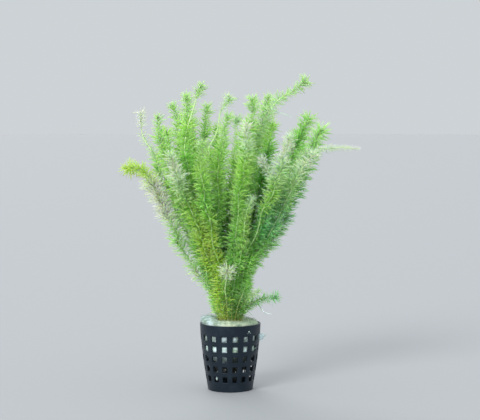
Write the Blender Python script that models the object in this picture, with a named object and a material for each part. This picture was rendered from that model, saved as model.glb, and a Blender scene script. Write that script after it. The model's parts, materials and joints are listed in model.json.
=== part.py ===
"""Stream bogmoss, a fine-leaved water plant, in the small net pot that it is grown in.

A bunch of leafy stems stands with its feet in a pocket of a mineral wool plug. The plug is
wedged in a basket of black plastic. Metres, +Z up. The origin is in the middle of the pot's
underside, and the plant is seen from -Y, with +X to the right.
"""

import math

import bmesh
import bpy
import numpy as np
from mathutils import Vector

MM = 0.001

# Net pot: a round basket, five rows of sixteen openings under a plain band
POT_HEIGHT = 55.0 * MM
POT_RIM_RADIUS = 25.0 * MM
POT_BAND_RADIUS = 24.6 * MM
POT_MIDDLE_RADIUS = 22.2 * MM
POT_MIDDLE_HEIGHT = 24.0 * MM
POT_BASE_RADIUS = 18.4 * MM
POT_WALL = 1.3 * MM
POT_FLOOR = 1.4 * MM
OPENING_COLUMNS = 16
OPENING_ROWS = 5
OPENING_HEIGHT = 4.8 * MM
OPENING_PITCH = 8.4 * MM
TOP_OPENING_HEIGHT = 44.0 * MM
FIRST_OPENING_ANGLE = math.radians(-12.0)
FLOOR_SLOT_OUTER = 15.0 * MM
FLOOR_SLOT_INNER = 7.5 * MM
FLOOR_SLOT_EVERY = 4

# Wool plug: wedged in the upper half of the pot, with a pocket for the feet of the stems
WOOL_SIDES = 24
WOOL_GAP = 0.45 * MM
WOOL_FOOT_RINGS = ((9.0 * MM, 21.0 * MM), (17.5 * MM, 27.0 * MM))
WOOL_WALL_HEIGHTS = (34.0 * MM, 40.8 * MM, 47.2 * MM, 54.8 * MM)
WOOL_TOP = 57.2 * MM
WOOL_SHOULDER_HEIGHT = 56.2 * MM
WOOL_SHOULDER_INSET = 0.3 * MM
WOOL_CROWN_RADIUS = 17.5 * MM
WOOL_CROWN_HEIGHT = 57.8 * MM
WOOL_LUMP = 0.8 * MM
WOOL_LUMP_WAVES = ((3, 0.6, 1.0), (7, 0.4, 2.3))
WOOL_RAISED_SIDE = 2.0 * MM
WOOL_OVERHANG = 1.5 * MM
POCKET_RADIUS = 9.7 * MM
POCKET_BEVEL = 2.6 * MM
POCKET_LIP_HEIGHT = 57.4 * MM
POCKET_EDGE_HEIGHT = 56.4 * MM
POCKET_FLOOR = 42.0 * MM
TUFT_COLUMN = 4
TUFT_RING = 3
TUFT_INSET = 1.7 * MM
TUFT_LENGTH = 5.2 * MM
TUFT_STEPS = ((0.55, 0.8), (0.45, 0.45))

# Stems: how they are packed in the pocket, and how the leaves stand round them
FOOT_CLEARANCE = 0.5 * MM
STEM_RADIUS = 0.65 * MM
FOOT_SPACING = 2.7 * MM
FOOT_LIMIT = 8.6 * MM
FOOT_FLARE = 1.02
SPREAD_ROUNDS = 400
SPREAD_SHARE = 0.35
FAN_HEIGHT = 30.0 * MM
FAN_FLATNESS = 1.67
SPIRAL_TURN = math.acos(-2.0 / 3.0)
CORE_RADIUS = 1.1 * MM
CORNER_SPACING = 4.2 * MM
LAST_CORNER = 6.0 * MM
BARE_LENGTH = 15.5 * MM
LEAF_START = 19.0 * MM
LEAF_FULL = 33.0 * MM
LEAF_START_SHARE = 0.3
LEAF_TIP_SHARE = 0.8
LEAF_TIP_RUN = 12.0 * MM
LEAF_LEAN = 0.25
LEAF_TIP_LEAN = 0.9
LEAN_RUN = 22.0 * MM
SHORTEST_LEAF = 1.8 * MM
NEIGHBOUR_GAP = 0.8 * MM
SAMPLE_STEP = 1.5 * MM
FINE_STEPS = 40

# Each stem: how far its leaves reach, its colour, and the points it grows through above the
# wool, lowest first and its tip last. All are in millimetres. +X is right and +Y is away.
GREEN = (0.26, 0.45, 0.12)
BRIGHT = (0.33, 0.55, 0.17)
DARK = (0.16, 0.32, 0.09)
PALE = (0.52, 0.68, 0.45)
SHOOTS = {
    "shoot_left_arch": (
        7.5, PALE,
        [(-20, -3, 86), (-34, -4, 106), (-44, -5, 130), (-54, -6, 152), (-63, -6, 169),
         (-72, -6, 181), (-84, -6, 184)],
    ),
    "shoot_01": (
        7.5, PALE,
        [(-22, 2, 100), (-36, 4, 130), (-50, 6, 160), (-63, 8, 193), (-76, 8, 227)],
    ),
    "shoot_02": (
        7.5, BRIGHT,
        [(-20, -5, 103), (-33, -9, 136), (-45, -12, 169), (-53, -15, 197), (-59, -16, 226)],
    ),
    "shoot_03": (
        7.5, BRIGHT,
        [(-18, 4, 105), (-30, 8, 138), (-38, 12, 172), (-43, 16, 201), (-47, 18, 233)],
    ),
    "shoot_04": (
        7.5, BRIGHT,
        [(-16, 0, 105), (-25, 0, 140), (-31, 1, 173), (-35, 3, 205), (-35, 4, 243)],
    ),
    "shoot_05": (
        7.0, BRIGHT,
        [(-15, -6, 106), (-24, -12, 139), (-32, -17, 173), (-35, -20, 206), (-31, -22, 229), (-22, -24, 250)],
    ),
    "shoot_06": (
        7.5, GREEN,
        [(-12, 5, 105), (-18, 12, 139), (-22, 18, 172), (-23, 22, 201), (-20, 26, 231)],
    ),
    "shoot_07": (
        6.5, PALE,
        [(-10, -3, 105), (-15, -5, 140), (-17, -7, 173), (-16, -8, 201), (-9, -8, 223), (-1, -8, 239)],
    ),
    "shoot_08": (
        7.5, BRIGHT,
        [(-8, -8, 106), (-10, -16, 141), (-10, -23, 174), (-6, -28, 202), (-3, -31, 225)],
    ),
    "shoot_09": (
        6.5, PALE,
        [(-1, 2, 105), (0, 4, 139), (1, 6, 172), (4, 8, 201), (7, 8, 224)],
    ),
    "shoot_10": (
        7.5, BRIGHT,
        [(1, -5, 106), (5, -10, 140), (10, -14, 173), (15, -18, 206), (19, -20, 237)],
    ),
    "shoot_11": (
        7.5, BRIGHT,
        [(3, 2, 105), (9, 3, 140), (15, 4, 172), (23, 4, 205), (33, 4, 240)],
    ),
    "shoot_right_arch": (
        7.0, GREEN,
        [(5, -3, 105), (11, -6, 140), (16, -9, 173), (20, -10, 201), (27, -10, 223), (40, -8, 237),
         (62, -6, 252)],
    ),
    "shoot_12": (
        7.5, GREEN,
        [(13, 4, 105), (26, 9, 139), (41, 14, 172), (54, 18, 201), (64, 20, 224)],
    ),
    "shoot_13": (
        7.5, GREEN,
        [(18, 0, 100), (38, 0, 130), (51, 0, 156), (60, 1, 182), (67, 2, 199), (77, 2, 214)],
    ),
    "shoot_bare_tip": (
        5.5, PALE,
        [(16, -5, 101), (31, -9, 131), (40, -12, 157), (48, -13, 180), (60, -12, 194), (77, -11, 198),
         (105, -10, 199)],
    ),
    "shoot_14": (
        7.5, PALE,
        [(17, -8, 103), (34, -14, 133), (46, -18, 157), (56, -21, 180), (70, -24, 196)],
    ),
    "shoot_15": (
        7.5, PALE,
        [(14, -10, 106), (26, -18, 137), (35, -24, 166), (43, -28, 190), (48, -31, 207)],
    ),
    "shoot_bent": (
        6.5, PALE,
        [(10, -12, 106), (22, -20, 131), (27, -25, 150), (36, -30, 166), (32, -33, 181), (25, -35, 191)],
    ),
    "shoot_16": (
        7.5, PALE,
        [(1, -12, 106), (5, -22, 137), (9, -29, 170), (12, -34, 194), (14, -38, 217)],
    ),
    "shoot_17": (
        7.5, GREEN,
        [(-18, 7, 104), (-31, 14, 137), (-43, 20, 170), (-51, 24, 197), (-55, 26, 212)],
    ),
    "shoot_18": (
        7.5, GREEN,
        [(-12, 9, 104), (-20, 19, 137), (-26, 27, 170), (-30, 33, 196), (-32, 36, 219)],
    ),
    "shoot_19": (
        7.5, GREEN,
        [(-5, 10, 104), (-8, 22, 137), (-10, 32, 170), (-11, 38, 196), (-11, 42, 215)],
    ),
    "shoot_20": (
        7.5, GREEN,
        [(2, 9, 104), (5, 20, 137), (9, 29, 170), (11, 35, 196), (13, 38, 220)],
    ),
    "shoot_21": (
        7.5, GREEN,
        [(8, 7, 104), (17, 15, 137), (26, 23, 170), (31, 28, 197), (35, 31, 217)],
    ),
    "shoot_22": (
        7.5, DARK,
        [(14, 7, 103), (28, 15, 135), (41, 22, 165), (51, 27, 188), (57, 30, 209)],
    ),
    "shoot_23": (
        7.5, PALE,
        [(-15, -10, 106), (-28, -19, 137), (-38, -25, 166), (-43, -28, 180), (-47, -31, 192)],
    ),
    "shoot_24": (
        7.5, BRIGHT,
        [(-9, -13, 106), (-17, -24, 137), (-21, -32, 166), (-23, -37, 186), (-24, -40, 204)],
    ),
    "short_shoot_front": (
        6.5, PALE,
        [(6, -15, 107), (10, -23, 129), (13, -28, 146), (19, -32, 159)],
    ),
    "short_shoot_white": (
        6.5, PALE,
        [(-3, -12, 75), (-3, -19, 88), (-2, -27, 103)],
    ),
    "short_shoot_dark": (
        5.0, DARK,
        [(7, -12, 72), (12, -19, 87)],
    ),
    "short_shoot_low": (
        5.5, GREEN,
        [(13, -5, 68), (24, -8, 75), (38, -9, 77)],
    ),
    "short_shoot_right": (
        5.5, PALE,
        [(9, -10, 70), (15, -15, 78), (24, -20, 83)],
    ),
}

# The loose root: a bare thread that leaves the bunch low on the right
ROOT_RADIUS = 0.35 * MM
ROOT_SPACING = 1.6 * MM
ROOT_POINTS = [(11, 2, 68), (18, 1, 72), (24, 0, 69), (27, 0, 64), (34, -1, 62)]

BLACK_PLASTIC = (0.022, 0.03, 0.042)
WOOL_WHITE = (0.56, 0.6, 0.54)
ROOT_WHITE = (0.62, 0.68, 0.62)


def clear_scene():
    for obj in list(bpy.data.objects):
        bpy.data.objects.remove(obj, do_unlink=True)


def round_point(radius, angle, height):
    """A point at this radius and height. Angle 0 is at the front, -Y, and grows towards +X."""
    return (radius * math.sin(angle), -radius * math.cos(angle), height)


def make_material(name, colour, roughness):
    material = bpy.data.materials.new(name)
    material.use_nodes = True
    shader = material.node_tree.nodes["Principled BSDF"]
    shader.inputs["Base Color"].default_value = (*colour, 1.0)
    shader.inputs["Roughness"].default_value = roughness
    shader.inputs["Metallic"].default_value = 0.0
    material.diffuse_color = (*colour, 1.0)
    return material


def make_object(name, vertices, faces, place, colour, roughness, parent):
    """A named object at place, whose mesh holds the vertices relative to that point."""
    mesh = bpy.data.meshes.new(name)
    mesh.from_pydata([tuple(Vector(v) - Vector(place)) for v in vertices], [], faces)
    mesh.materials.append(make_material(name + "_finish", colour, roughness))
    mesh.shade_smooth()
    mesh.set_sharp_from_angle(angle=math.radians(40.0))
    obj = bpy.data.objects.new(name, mesh)
    obj.location = place
    obj.parent = parent
    bpy.context.scene.collection.objects.link(obj)
    return obj


def pot_radius(height):
    """The outer radius of the pot's wall at a height."""
    band_bottom = TOP_OPENING_HEIGHT + OPENING_HEIGHT / 2
    return float(
        np.interp(
            height,
            (0.0, POT_MIDDLE_HEIGHT, band_bottom, POT_HEIGHT),
            (POT_BASE_RADIUS, POT_MIDDLE_RADIUS, POT_BAND_RADIUS, POT_RIM_RADIUS),
        )
    )


def pot_stations():
    """The pot's section as (outer point, inner point, what is open below it), rim to centre."""

    def wall(height, opened):
        radius = pot_radius(height)
        return ((radius, height), (radius - POT_WALL, height), opened)

    stations = [wall(POT_HEIGHT, None)]
    for row in range(OPENING_ROWS):
        middle = TOP_OPENING_HEIGHT - row * OPENING_PITCH
        stations.append(wall(middle + OPENING_HEIGHT / 2, "wall"))
        stations.append(wall(middle - OPENING_HEIGHT / 2, None))
    stations.append(((POT_BASE_RADIUS, 0.0), (POT_BASE_RADIUS - POT_WALL, POT_FLOOR), None))
    stations.append(((FLOOR_SLOT_OUTER, 0.0), (FLOOR_SLOT_OUTER, POT_FLOOR), "floor"))
    stations.append(((FLOOR_SLOT_INNER, 0.0), (FLOOR_SLOT_INNER, POT_FLOOR), None))
    return stations


def build_pot(parent):
    """Closes a grid of cells round the pot, and walls in each cell that is left open."""
    columns = 2 * OPENING_COLUMNS
    turn = 2 * math.pi / columns
    start = FIRST_OPENING_ANGLE - turn / 2
    stations = pot_stations()
    vertices = []
    for outer, inner, _ in stations:
        for radius, height in (outer, inner):
            vertices += [round_point(radius, start + k * turn, height) for k in range(columns)]

    def corner(station, inside, column):
        return (2 * station + inside) * columns + column % columns

    def is_open(station, column):
        column %= columns
        opened = stations[station][2] if 0 <= station < len(stations) - 1 else None
        if opened == "wall":
            return column % 2 == 0
        return opened == "floor" and column % FLOOR_SLOT_EVERY < FLOOR_SLOT_EVERY / 2

    faces = []
    for station in range(len(stations) - 1):
        for column in range(columns):
            upper = [corner(station, side, column) for side in (0, 1)]
            upper_next = [corner(station, side, column + 1) for side in (0, 1)]
            lower = [corner(station + 1, side, column) for side in (0, 1)]
            lower_next = [corner(station + 1, side, column + 1) for side in (0, 1)]
            if is_open(station, column):
                faces.append((upper[0], upper[1], upper_next[1], upper_next[0]))
                faces.append((lower[0], lower_next[0], lower_next[1], lower[1]))
                if not is_open(station, column - 1):
                    faces.append((upper[0], lower[0], lower[1], upper[1]))
                if not is_open(station, column + 1):
                    faces.append((upper_next[0], upper_next[1], lower_next[1], lower_next[0]))
            else:
                faces.append((upper[0], lower[0], lower_next[0], upper_next[0]))
                faces.append((upper[1], upper_next[1], lower_next[1], lower[1]))
    for column in range(columns):
        rim = (corner(0, 0, column), corner(0, 0, column + 1))
        faces.append((*rim, corner(0, 1, column + 1), corner(0, 1, column)))
    last = len(stations) - 1
    faces.append([corner(last, 0, column) for column in reversed(range(columns))])
    faces.append([corner(last, 1, column) for column in range(columns)])
    return make_object("net_pot", vertices, faces, (0.0, 0.0, 0.0), BLACK_PLASTIC, 0.42, parent)


def wool_lump(angle, seed):
    """A smooth wave round the plug that keeps its top from being flat."""
    waves = [share * math.sin(n * angle + shift * seed) for n, share, shift in WOOL_LUMP_WAVES]
    return WOOL_LUMP * sum(waves)


def wool_ring(radius, height, lumpy=0.0, seed=0.0, overhang=0.0):
    """One ring of the plug. Where it is lumpy, its left side stands higher than the rest."""
    ring = []
    first = FIRST_OPENING_ANGLE + TUFT_COLUMN * 2 * math.pi / OPENING_COLUMNS
    for k in range(WOOL_SIDES):
        angle = first + (k + 0.5) * 2 * math.pi / WOOL_SIDES
        left = max(0.0, -math.sin(angle)) ** 2
        rise = lumpy * (wool_lump(angle, seed) + WOOL_RAISED_SIDE * left)
        ring.append(round_point(radius + overhang * left, angle, height + rise))
    return ring


def wool_wall(height):
    """The radius of the plug where it stands against the pot's wall."""
    return pot_radius(height) - POT_WALL - WOOL_GAP


def build_wool(parent):
    """A tapered plug with a lumpy top, a pocket in the middle, and a tuft through one opening."""
    shoulder = wool_wall(POT_HEIGHT) - WOOL_SHOULDER_INSET
    rings = [wool_ring(radius, height) for radius, height in WOOL_FOOT_RINGS]
    rings += [wool_ring(wool_wall(height), height) for height in WOOL_WALL_HEIGHTS]
    rings += [
        wool_ring(shoulder, WOOL_SHOULDER_HEIGHT, 1.0, 0.4, WOOL_OVERHANG),
        wool_ring(WOOL_CROWN_RADIUS, WOOL_CROWN_HEIGHT, 1.0, 1.1),
        wool_ring(POCKET_RADIUS + POCKET_BEVEL, POCKET_LIP_HEIGHT, 0.6, 2.0),
        wool_ring(POCKET_RADIUS, POCKET_EDGE_HEIGHT, 0.3, 2.0),
        wool_ring(POCKET_RADIUS, POCKET_FLOOR),
    ]
    vertices = [point for ring in rings for point in ring]
    faces = []
    for level in range(len(rings) - 1):
        for k in range(WOOL_SIDES):
            low = level * WOOL_SIDES
            high = low + WOOL_SIDES
            beside = (k + 1) % WOOL_SIDES
            faces.append((low + k, low + beside, high + beside, high + k))
    faces.append(list(reversed(range(WOOL_SIDES))))
    top = (len(rings) - 1) * WOOL_SIDES
    faces.append([top + k for k in range(WOOL_SIDES)])
    plug = make_object("wool_plug", vertices, faces, (0.0, 0.0, 0.0), WOOL_WHITE, 0.95, parent)
    pull_tuft(plug.data, (TUFT_RING + 1) * WOOL_SIDES - 1)
    return plug


def pull_tuft(mesh, face_index):
    """Draws a small tuft of wool out of the face that lies behind one opening of the pot."""
    work = bmesh.new()
    work.from_mesh(mesh)
    work.faces.ensure_lookup_table()
    face = work.faces[face_index]
    bmesh.ops.inset_individual(work, faces=[face], thickness=TUFT_INSET)
    outward = Vector((face.normal.x, face.normal.y, 0.0)).normalized()
    for share, size in TUFT_STEPS:
        face = bmesh.ops.extrude_discrete_faces(work, faces=[face])["faces"][0]
        bmesh.ops.translate(work, verts=face.verts, vec=outward * TUFT_LENGTH * share)
        middle = face.calc_center_median()
        for vertex in face.verts:
            vertex.co = middle + (vertex.co - middle) * size
    work.to_mesh(mesh)
    work.free()


def foot_aim(point):
    """Where a stem that passes through this point would enter the wool, as the bunch fans out."""
    share = (WOOL_TOP - FAN_HEIGHT) / (point[2] - FAN_HEIGHT)
    return point[0] * share, point[1] * min(1.0, share * FAN_FLATNESS)


def spread_feet(points):
    """Moves the feet apart in plan, a little at a time, until they stand side by side."""
    feet = np.array(points)
    for _ in range(SPREAD_ROUNDS):
        apart = feet[:, None] - feet[None]
        distance = np.linalg.norm(apart, axis=2) + np.eye(len(feet))
        short = np.clip(FOOT_SPACING - distance, 0.0, None) * (1.0 - np.eye(len(feet)))
        feet = feet + SPREAD_SHARE * (apart / distance[..., None] * short[..., None]).sum(axis=1)
        radius = np.linalg.norm(feet, axis=1, keepdims=True)
        feet = feet * np.minimum(1.0, FOOT_LIMIT / np.maximum(radius, 1e-9))
    return feet


def smooth_line(knots):
    """Even points on one smooth curve through the knots, SAMPLE_STEP apart or a little less."""
    knots = np.array(knots)
    chords = np.linalg.norm(np.diff(knots, axis=0), axis=1)
    slopes = np.diff(knots, axis=0) / chords[:, None]
    tangents = np.empty_like(knots)
    tangents[0] = slopes[0]
    tangents[-1] = slopes[-1]
    before, after = chords[:-1, None], chords[1:, None]
    tangents[1:-1] = (after * slopes[:-1] + before * slopes[1:]) / (before + after)
    fine = []
    for i, chord in enumerate(chords):
        t = np.linspace(0.0, 1.0, FINE_STEPS, endpoint=False)[:, None]
        start = (2 * t**3 - 3 * t**2 + 1) * knots[i] + (t**3 - 2 * t**2 + t) * chord * tangents[i]
        end = (3 * t**2 - 2 * t**3) * knots[i + 1] + (t**3 - t**2) * chord * tangents[i + 1]
        fine.append(start + end)
    fine = np.vstack([*fine, knots[-1:]])
    along = np.concatenate([[0.0], np.cumsum(np.linalg.norm(np.diff(fine, axis=0), axis=1))])
    count = math.ceil(along[-1] / SAMPLE_STEP) + 1
    even = np.linspace(0.0, along[-1], count)
    return np.column_stack([np.interp(even, along, fine[:, axis]) for axis in range(3)]), even


def carried_frames(line):
    """The tangent, and two directions across it, at each point, carried along without a twist."""
    tangents = np.gradient(line, axis=0)
    tangents /= np.linalg.norm(tangents, axis=1, keepdims=True)
    normal = np.array((1.0, 0.0, 0.0))
    normals = []
    for tangent in tangents:
        normal = normal - tangent * normal.dot(tangent)
        normal = normal / np.linalg.norm(normal)
        normals.append(normal)
    normals = np.array(normals)
    return tangents, normals, np.cross(tangents, normals)


def core_mesh(line, chosen, radii):
    """A thin closed stem whose corners climb in a spiral, one at each of the chosen points."""
    _, normals, across = carried_frames(line)
    vertices = []
    for corner, (i, radius) in enumerate(zip(chosen, radii)):
        angle = corner * SPIRAL_TURN
        vertices.append(line[i] + radius * (math.cos(angle) * normals[i] + math.sin(angle) * across[i]))
    faces = [(0, 2, 1)]
    for low in range(len(vertices) - 3):
        faces.append((low, low + 1, low + 3))
        faces.append((low, low + 3, low + 2))
    faces.append((low + 3, low + 1, low + 2))
    return vertices, faces


def leaf_length(along, length, reach):
    """How long the leaves are at a place: none in the wool, and a little shorter at the tip."""
    ramp = np.interp(along, (0.0, LEAF_START, LEAF_FULL), (0.0, LEAF_START_SHARE, 1.0))
    tip = np.interp(length - along, (0.0, LEAF_TIP_RUN), (LEAF_TIP_SHARE, 1.0))
    return reach * ramp * tip


def leaf_lean(along, length):
    """How steeply the leaves point along the stem: nearly square to it, and upwards at the tip."""
    return np.interp(length - along, (0.0, LEAN_RUN), (LEAF_TIP_LEAN, LEAF_LEAN))


def room_towards(point, direction, others):
    """How far a leaf may reach in a direction before a neighbouring stem is the nearer one."""
    gap = others - point
    ahead = gap @ direction + NEIGHBOUR_GAP
    reach = ((gap**2).sum(axis=1) - NEIGHBOUR_GAP**2) / (2 * np.maximum(ahead, 1e-9))
    return float(reach[ahead > 0].min(initial=1.0))


def leaf_tip(line, along, i, middle, tangent, reach, others):
    """Where the leaf over the middle of a face ends, or None where there is no room for one."""
    outward = middle - line[i]
    outward = outward - tangent * outward.dot(tangent)
    if along[i] < LEAF_START:
        return None
    aim = outward / np.linalg.norm(outward) + leaf_lean(along[i], along[-1]) * tangent
    aim = aim / np.linalg.norm(aim)
    size = min(leaf_length(along[i], along[-1], reach), room_towards(line[i], aim, others))
    return line[i] + aim * size if size > SHORTEST_LEAF else None


def build_shoot(name, reach, colour, line, along, others, parent):
    """A stem whose every face, from the wool up, is drawn out to the tip of a leaf."""
    tangents, _, _ = carried_frames(line)
    length = along[-1]
    last = length - LAST_CORNER
    steps = max(4, round((last - LEAF_START) / CORNER_SPACING))
    places = [0.0] * 3 + [BARE_LENGTH] * 3 + list(np.linspace(LEAF_START, last, steps + 1))
    chosen = [int(np.argmin(abs(along - place))) for place in places]
    radii = [STEM_RADIUS] * 6 + [CORE_RADIUS] * (steps - 2) + [STEM_RADIUS] * 3
    vertices, plain = core_mesh(line, chosen, radii)
    faces = []
    for face in plain:
        middle = np.mean([vertices[corner] for corner in face], axis=0)
        i = int(np.argmin(np.linalg.norm(line - middle, axis=1)))
        tip = line[-1]
        if face != plain[-1]:
            tip = leaf_tip(line, along, i, middle, tangents[i], reach, others)
        if tip is None:
            faces.append(face)
            continue
        vertices.append(tip)
        faces += [(face[k], face[(k + 1) % 3], len(vertices) - 1) for k in range(3)]
    vertices = [tuple(vertex) for vertex in vertices]
    return make_object(name, vertices, faces, tuple(line[0]), colour, 0.55, parent)


def build_root(line, parent):
    """The bare root, a thin tube from the wool to its drooping end."""
    count = 2 + math.ceil(len(line) * SAMPLE_STEP / ROOT_SPACING)
    chosen = [0, 0, *np.linspace(0, len(line) - 1, count).round().astype(int)]
    vertices, faces = core_mesh(line, chosen, [ROOT_RADIUS] * len(chosen))
    vertices = [tuple(vertex) for vertex in vertices]
    return make_object("loose_root", vertices, faces, tuple(line[0]), ROOT_WHITE, 0.5, parent)


def stem_lines():
    """The centre line of every stem and of the root, from the pocket's floor to the tip."""
    grown = {name: np.array(points) * MM for name, (_, _, points) in SHOOTS.items()}
    grown["loose_root"] = np.array(ROOT_POINTS) * MM
    feet = spread_feet([foot_aim(points[0]) for points in grown.values()])
    lines = {}
    for (name, points), foot in zip(grown.items(), feet):
        low = (*foot, POCKET_FLOOR + FOOT_CLEARANCE)
        high = (*(foot * FOOT_FLARE), WOOL_TOP)
        lines[name] = smooth_line([low, high, *points])
    return lines


def main():
    clear_scene()
    potted = bpy.data.objects.new("potted_bogmoss", None)
    bpy.context.scene.collection.objects.link(potted)
    build_pot(potted)
    build_wool(potted)
    lines = stem_lines()
    for name, (reach, colour, _) in SHOOTS.items():
        line, along = lines[name]
        others = np.vstack([other for key, (other, _) in lines.items() if key != name])
        build_shoot(name, reach * MM, colour, line, along, others, potted)
    build_root(lines["loose_root"][0], potted)


main()
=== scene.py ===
"""Stream bogmoss in its net pot, dressed over its solids, with a plain stage to see it on.

Fine-leaved stems fan out of a plug of mineral wool in a basket of black plastic. Metres, +Z up.
The origin is in the middle of the pot's underside. The plant is seen from -Y, with +X to the
right.
"""

import json
import math

import bmesh
import bpy
import numpy as np
from mathutils import Matrix, Vector, noise

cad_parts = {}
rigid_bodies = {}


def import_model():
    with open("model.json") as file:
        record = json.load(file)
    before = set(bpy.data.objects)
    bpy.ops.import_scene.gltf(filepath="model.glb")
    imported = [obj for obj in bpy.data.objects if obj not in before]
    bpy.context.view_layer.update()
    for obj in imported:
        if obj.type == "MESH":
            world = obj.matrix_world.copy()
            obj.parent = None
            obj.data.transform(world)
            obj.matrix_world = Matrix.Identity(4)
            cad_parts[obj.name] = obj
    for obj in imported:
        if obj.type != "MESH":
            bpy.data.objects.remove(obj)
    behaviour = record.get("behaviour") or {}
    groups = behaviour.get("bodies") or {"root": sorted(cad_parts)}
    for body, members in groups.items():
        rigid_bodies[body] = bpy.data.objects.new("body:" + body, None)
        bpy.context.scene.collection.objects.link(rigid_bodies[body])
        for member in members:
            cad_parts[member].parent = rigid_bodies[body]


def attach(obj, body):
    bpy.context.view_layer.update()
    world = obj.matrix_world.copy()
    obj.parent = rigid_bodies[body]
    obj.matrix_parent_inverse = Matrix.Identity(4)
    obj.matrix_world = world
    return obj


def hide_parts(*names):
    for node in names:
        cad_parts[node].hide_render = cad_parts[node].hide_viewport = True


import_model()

bl_info = {
    "name": "Potted stream bogmoss",
    "version": (1, 0, 0),
    "blender": (4, 5, 0),
    "location": "View3D > Sidebar > Bogmoss",
    "description": "Builds a bunch of stream bogmoss in its net pot, and a stage for it",
    "category": "Object",
}

MM = 0.001
LEAF_UV = "OFBake"
BODY = "root"

# The stems, lowest point first and the tip last, in millimetres. +X is right and +Y is away.
SHOOTS = {
    "shoot_left_arch": [(-20, -3, 86), (-34, -4, 106), (-44, -5, 130), (-54, -6, 152), (-63, -6, 169),
                        (-72, -6, 181), (-84, -6, 184)],
    "shoot_01": [(-22, 2, 100), (-36, 4, 130), (-50, 6, 160), (-63, 8, 193), (-76, 8, 227)],
    "shoot_02": [(-20, -5, 103), (-33, -9, 136), (-45, -12, 169), (-53, -15, 197), (-59, -16, 226)],
    "shoot_03": [(-18, 4, 105), (-30, 8, 138), (-38, 12, 172), (-43, 16, 201), (-47, 18, 233)],
    "shoot_04": [(-16, 0, 105), (-25, 0, 140), (-31, 1, 173), (-35, 3, 205), (-35, 4, 243)],
    "shoot_05": [(-15, -6, 106), (-24, -12, 139), (-32, -17, 173), (-35, -20, 206), (-31, -22, 229),
                 (-22, -24, 250)],
    "shoot_06": [(-12, 5, 105), (-18, 12, 139), (-22, 18, 172), (-23, 22, 201), (-20, 26, 231)],
    "shoot_07": [(-10, -3, 105), (-15, -5, 140), (-17, -7, 173), (-16, -8, 201), (-9, -8, 223),
                 (-1, -8, 239)],
    "shoot_08": [(-8, -8, 106), (-10, -16, 141), (-10, -23, 174), (-6, -28, 202), (-3, -31, 225)],
    "shoot_09": [(-1, 2, 105), (0, 4, 139), (1, 6, 172), (4, 8, 201), (7, 8, 224)],
    "shoot_10": [(1, -5, 106), (5, -10, 140), (10, -14, 173), (15, -18, 206), (19, -20, 237)],
    "shoot_11": [(3, 2, 105), (9, 3, 140), (15, 4, 172), (23, 4, 205), (33, 4, 240)],
    "shoot_right_arch": [(5, -3, 105), (11, -6, 140), (16, -9, 173), (20, -10, 201), (27, -10, 223),
                         (40, -8, 237), (62, -6, 252)],
    "shoot_12": [(13, 4, 105), (26, 9, 139), (41, 14, 172), (54, 18, 201), (64, 20, 224)],
    "shoot_13": [(18, 0, 100), (38, 0, 130), (51, 0, 156), (60, 1, 182), (67, 2, 199), (77, 2, 214)],
    "shoot_bare_tip": [(16, -5, 101), (31, -9, 131), (40, -12, 157), (48, -13, 180), (60, -12, 194),
                       (77, -11, 198), (105, -10, 199)],
    "shoot_14": [(17, -8, 103), (34, -14, 133), (46, -18, 157), (56, -21, 180), (70, -24, 196)],
    "shoot_15": [(14, -10, 106), (26, -18, 137), (35, -24, 166), (43, -28, 190), (48, -31, 207)],
    "shoot_bent": [(10, -12, 106), (22, -20, 131), (27, -25, 150), (36, -30, 166), (32, -33, 181),
                   (25, -35, 191)],
    "shoot_16": [(1, -12, 106), (5, -22, 137), (9, -29, 170), (12, -34, 194), (14, -38, 217)],
    "shoot_17": [(-18, 7, 104), (-31, 14, 137), (-43, 20, 170), (-51, 24, 197), (-55, 26, 212)],
    "shoot_18": [(-12, 9, 104), (-20, 19, 137), (-26, 27, 170), (-30, 33, 196), (-32, 36, 219)],
    "shoot_19": [(-5, 10, 104), (-8, 22, 137), (-10, 32, 170), (-11, 38, 196), (-11, 42, 215)],
    "shoot_20": [(2, 9, 104), (5, 20, 137), (9, 29, 170), (11, 35, 196), (13, 38, 220)],
    "shoot_21": [(8, 7, 104), (17, 15, 137), (26, 23, 170), (31, 28, 197), (35, 31, 217)],
    "shoot_22": [(14, 7, 103), (28, 15, 135), (41, 22, 165), (51, 27, 188), (57, 30, 209)],
    "shoot_23": [(-15, -10, 106), (-28, -19, 137), (-38, -25, 166), (-43, -28, 180), (-47, -31, 192)],
    "shoot_24": [(-9, -13, 106), (-17, -24, 137), (-21, -32, 166), (-23, -37, 186), (-24, -40, 204)],
    "short_shoot_front": [(6, -15, 107), (10, -23, 129), (13, -28, 146), (19, -32, 159)],
    "short_shoot_white": [(-3, -12, 75), (-3, -19, 88), (-2, -27, 103)],
    "short_shoot_dark": [(7, -12, 72), (12, -19, 87)],
    "short_shoot_low": [(13, -5, 68), (24, -8, 75), (38, -9, 77)],
    "short_shoot_right": [(9, -10, 70), (15, -15, 78), (24, -20, 83)],
}
ROOT_POINTS = [(11, 2, 68), (18, 1, 72), (24, 0, 69), (27, 0, 64), (34, -1, 62)]

# How the feet stand in the wool, as in the solids
POCKET_FLOOR = 42.0 * MM
FOOT_CLEARANCE = 0.5 * MM
WOOL_TOP = 57.2 * MM
FOOT_SPACING = 2.7 * MM
FOOT_LIMIT = 8.6 * MM
FOOT_FLARE = 1.02
SPREAD_ROUNDS = 400
SPREAD_SHARE = 0.35
FAN_HEIGHT = 30.0 * MM
FAN_FLATNESS = 1.67
SAMPLE_STEP = 1.5 * MM
FINE_STEPS = 40

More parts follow.
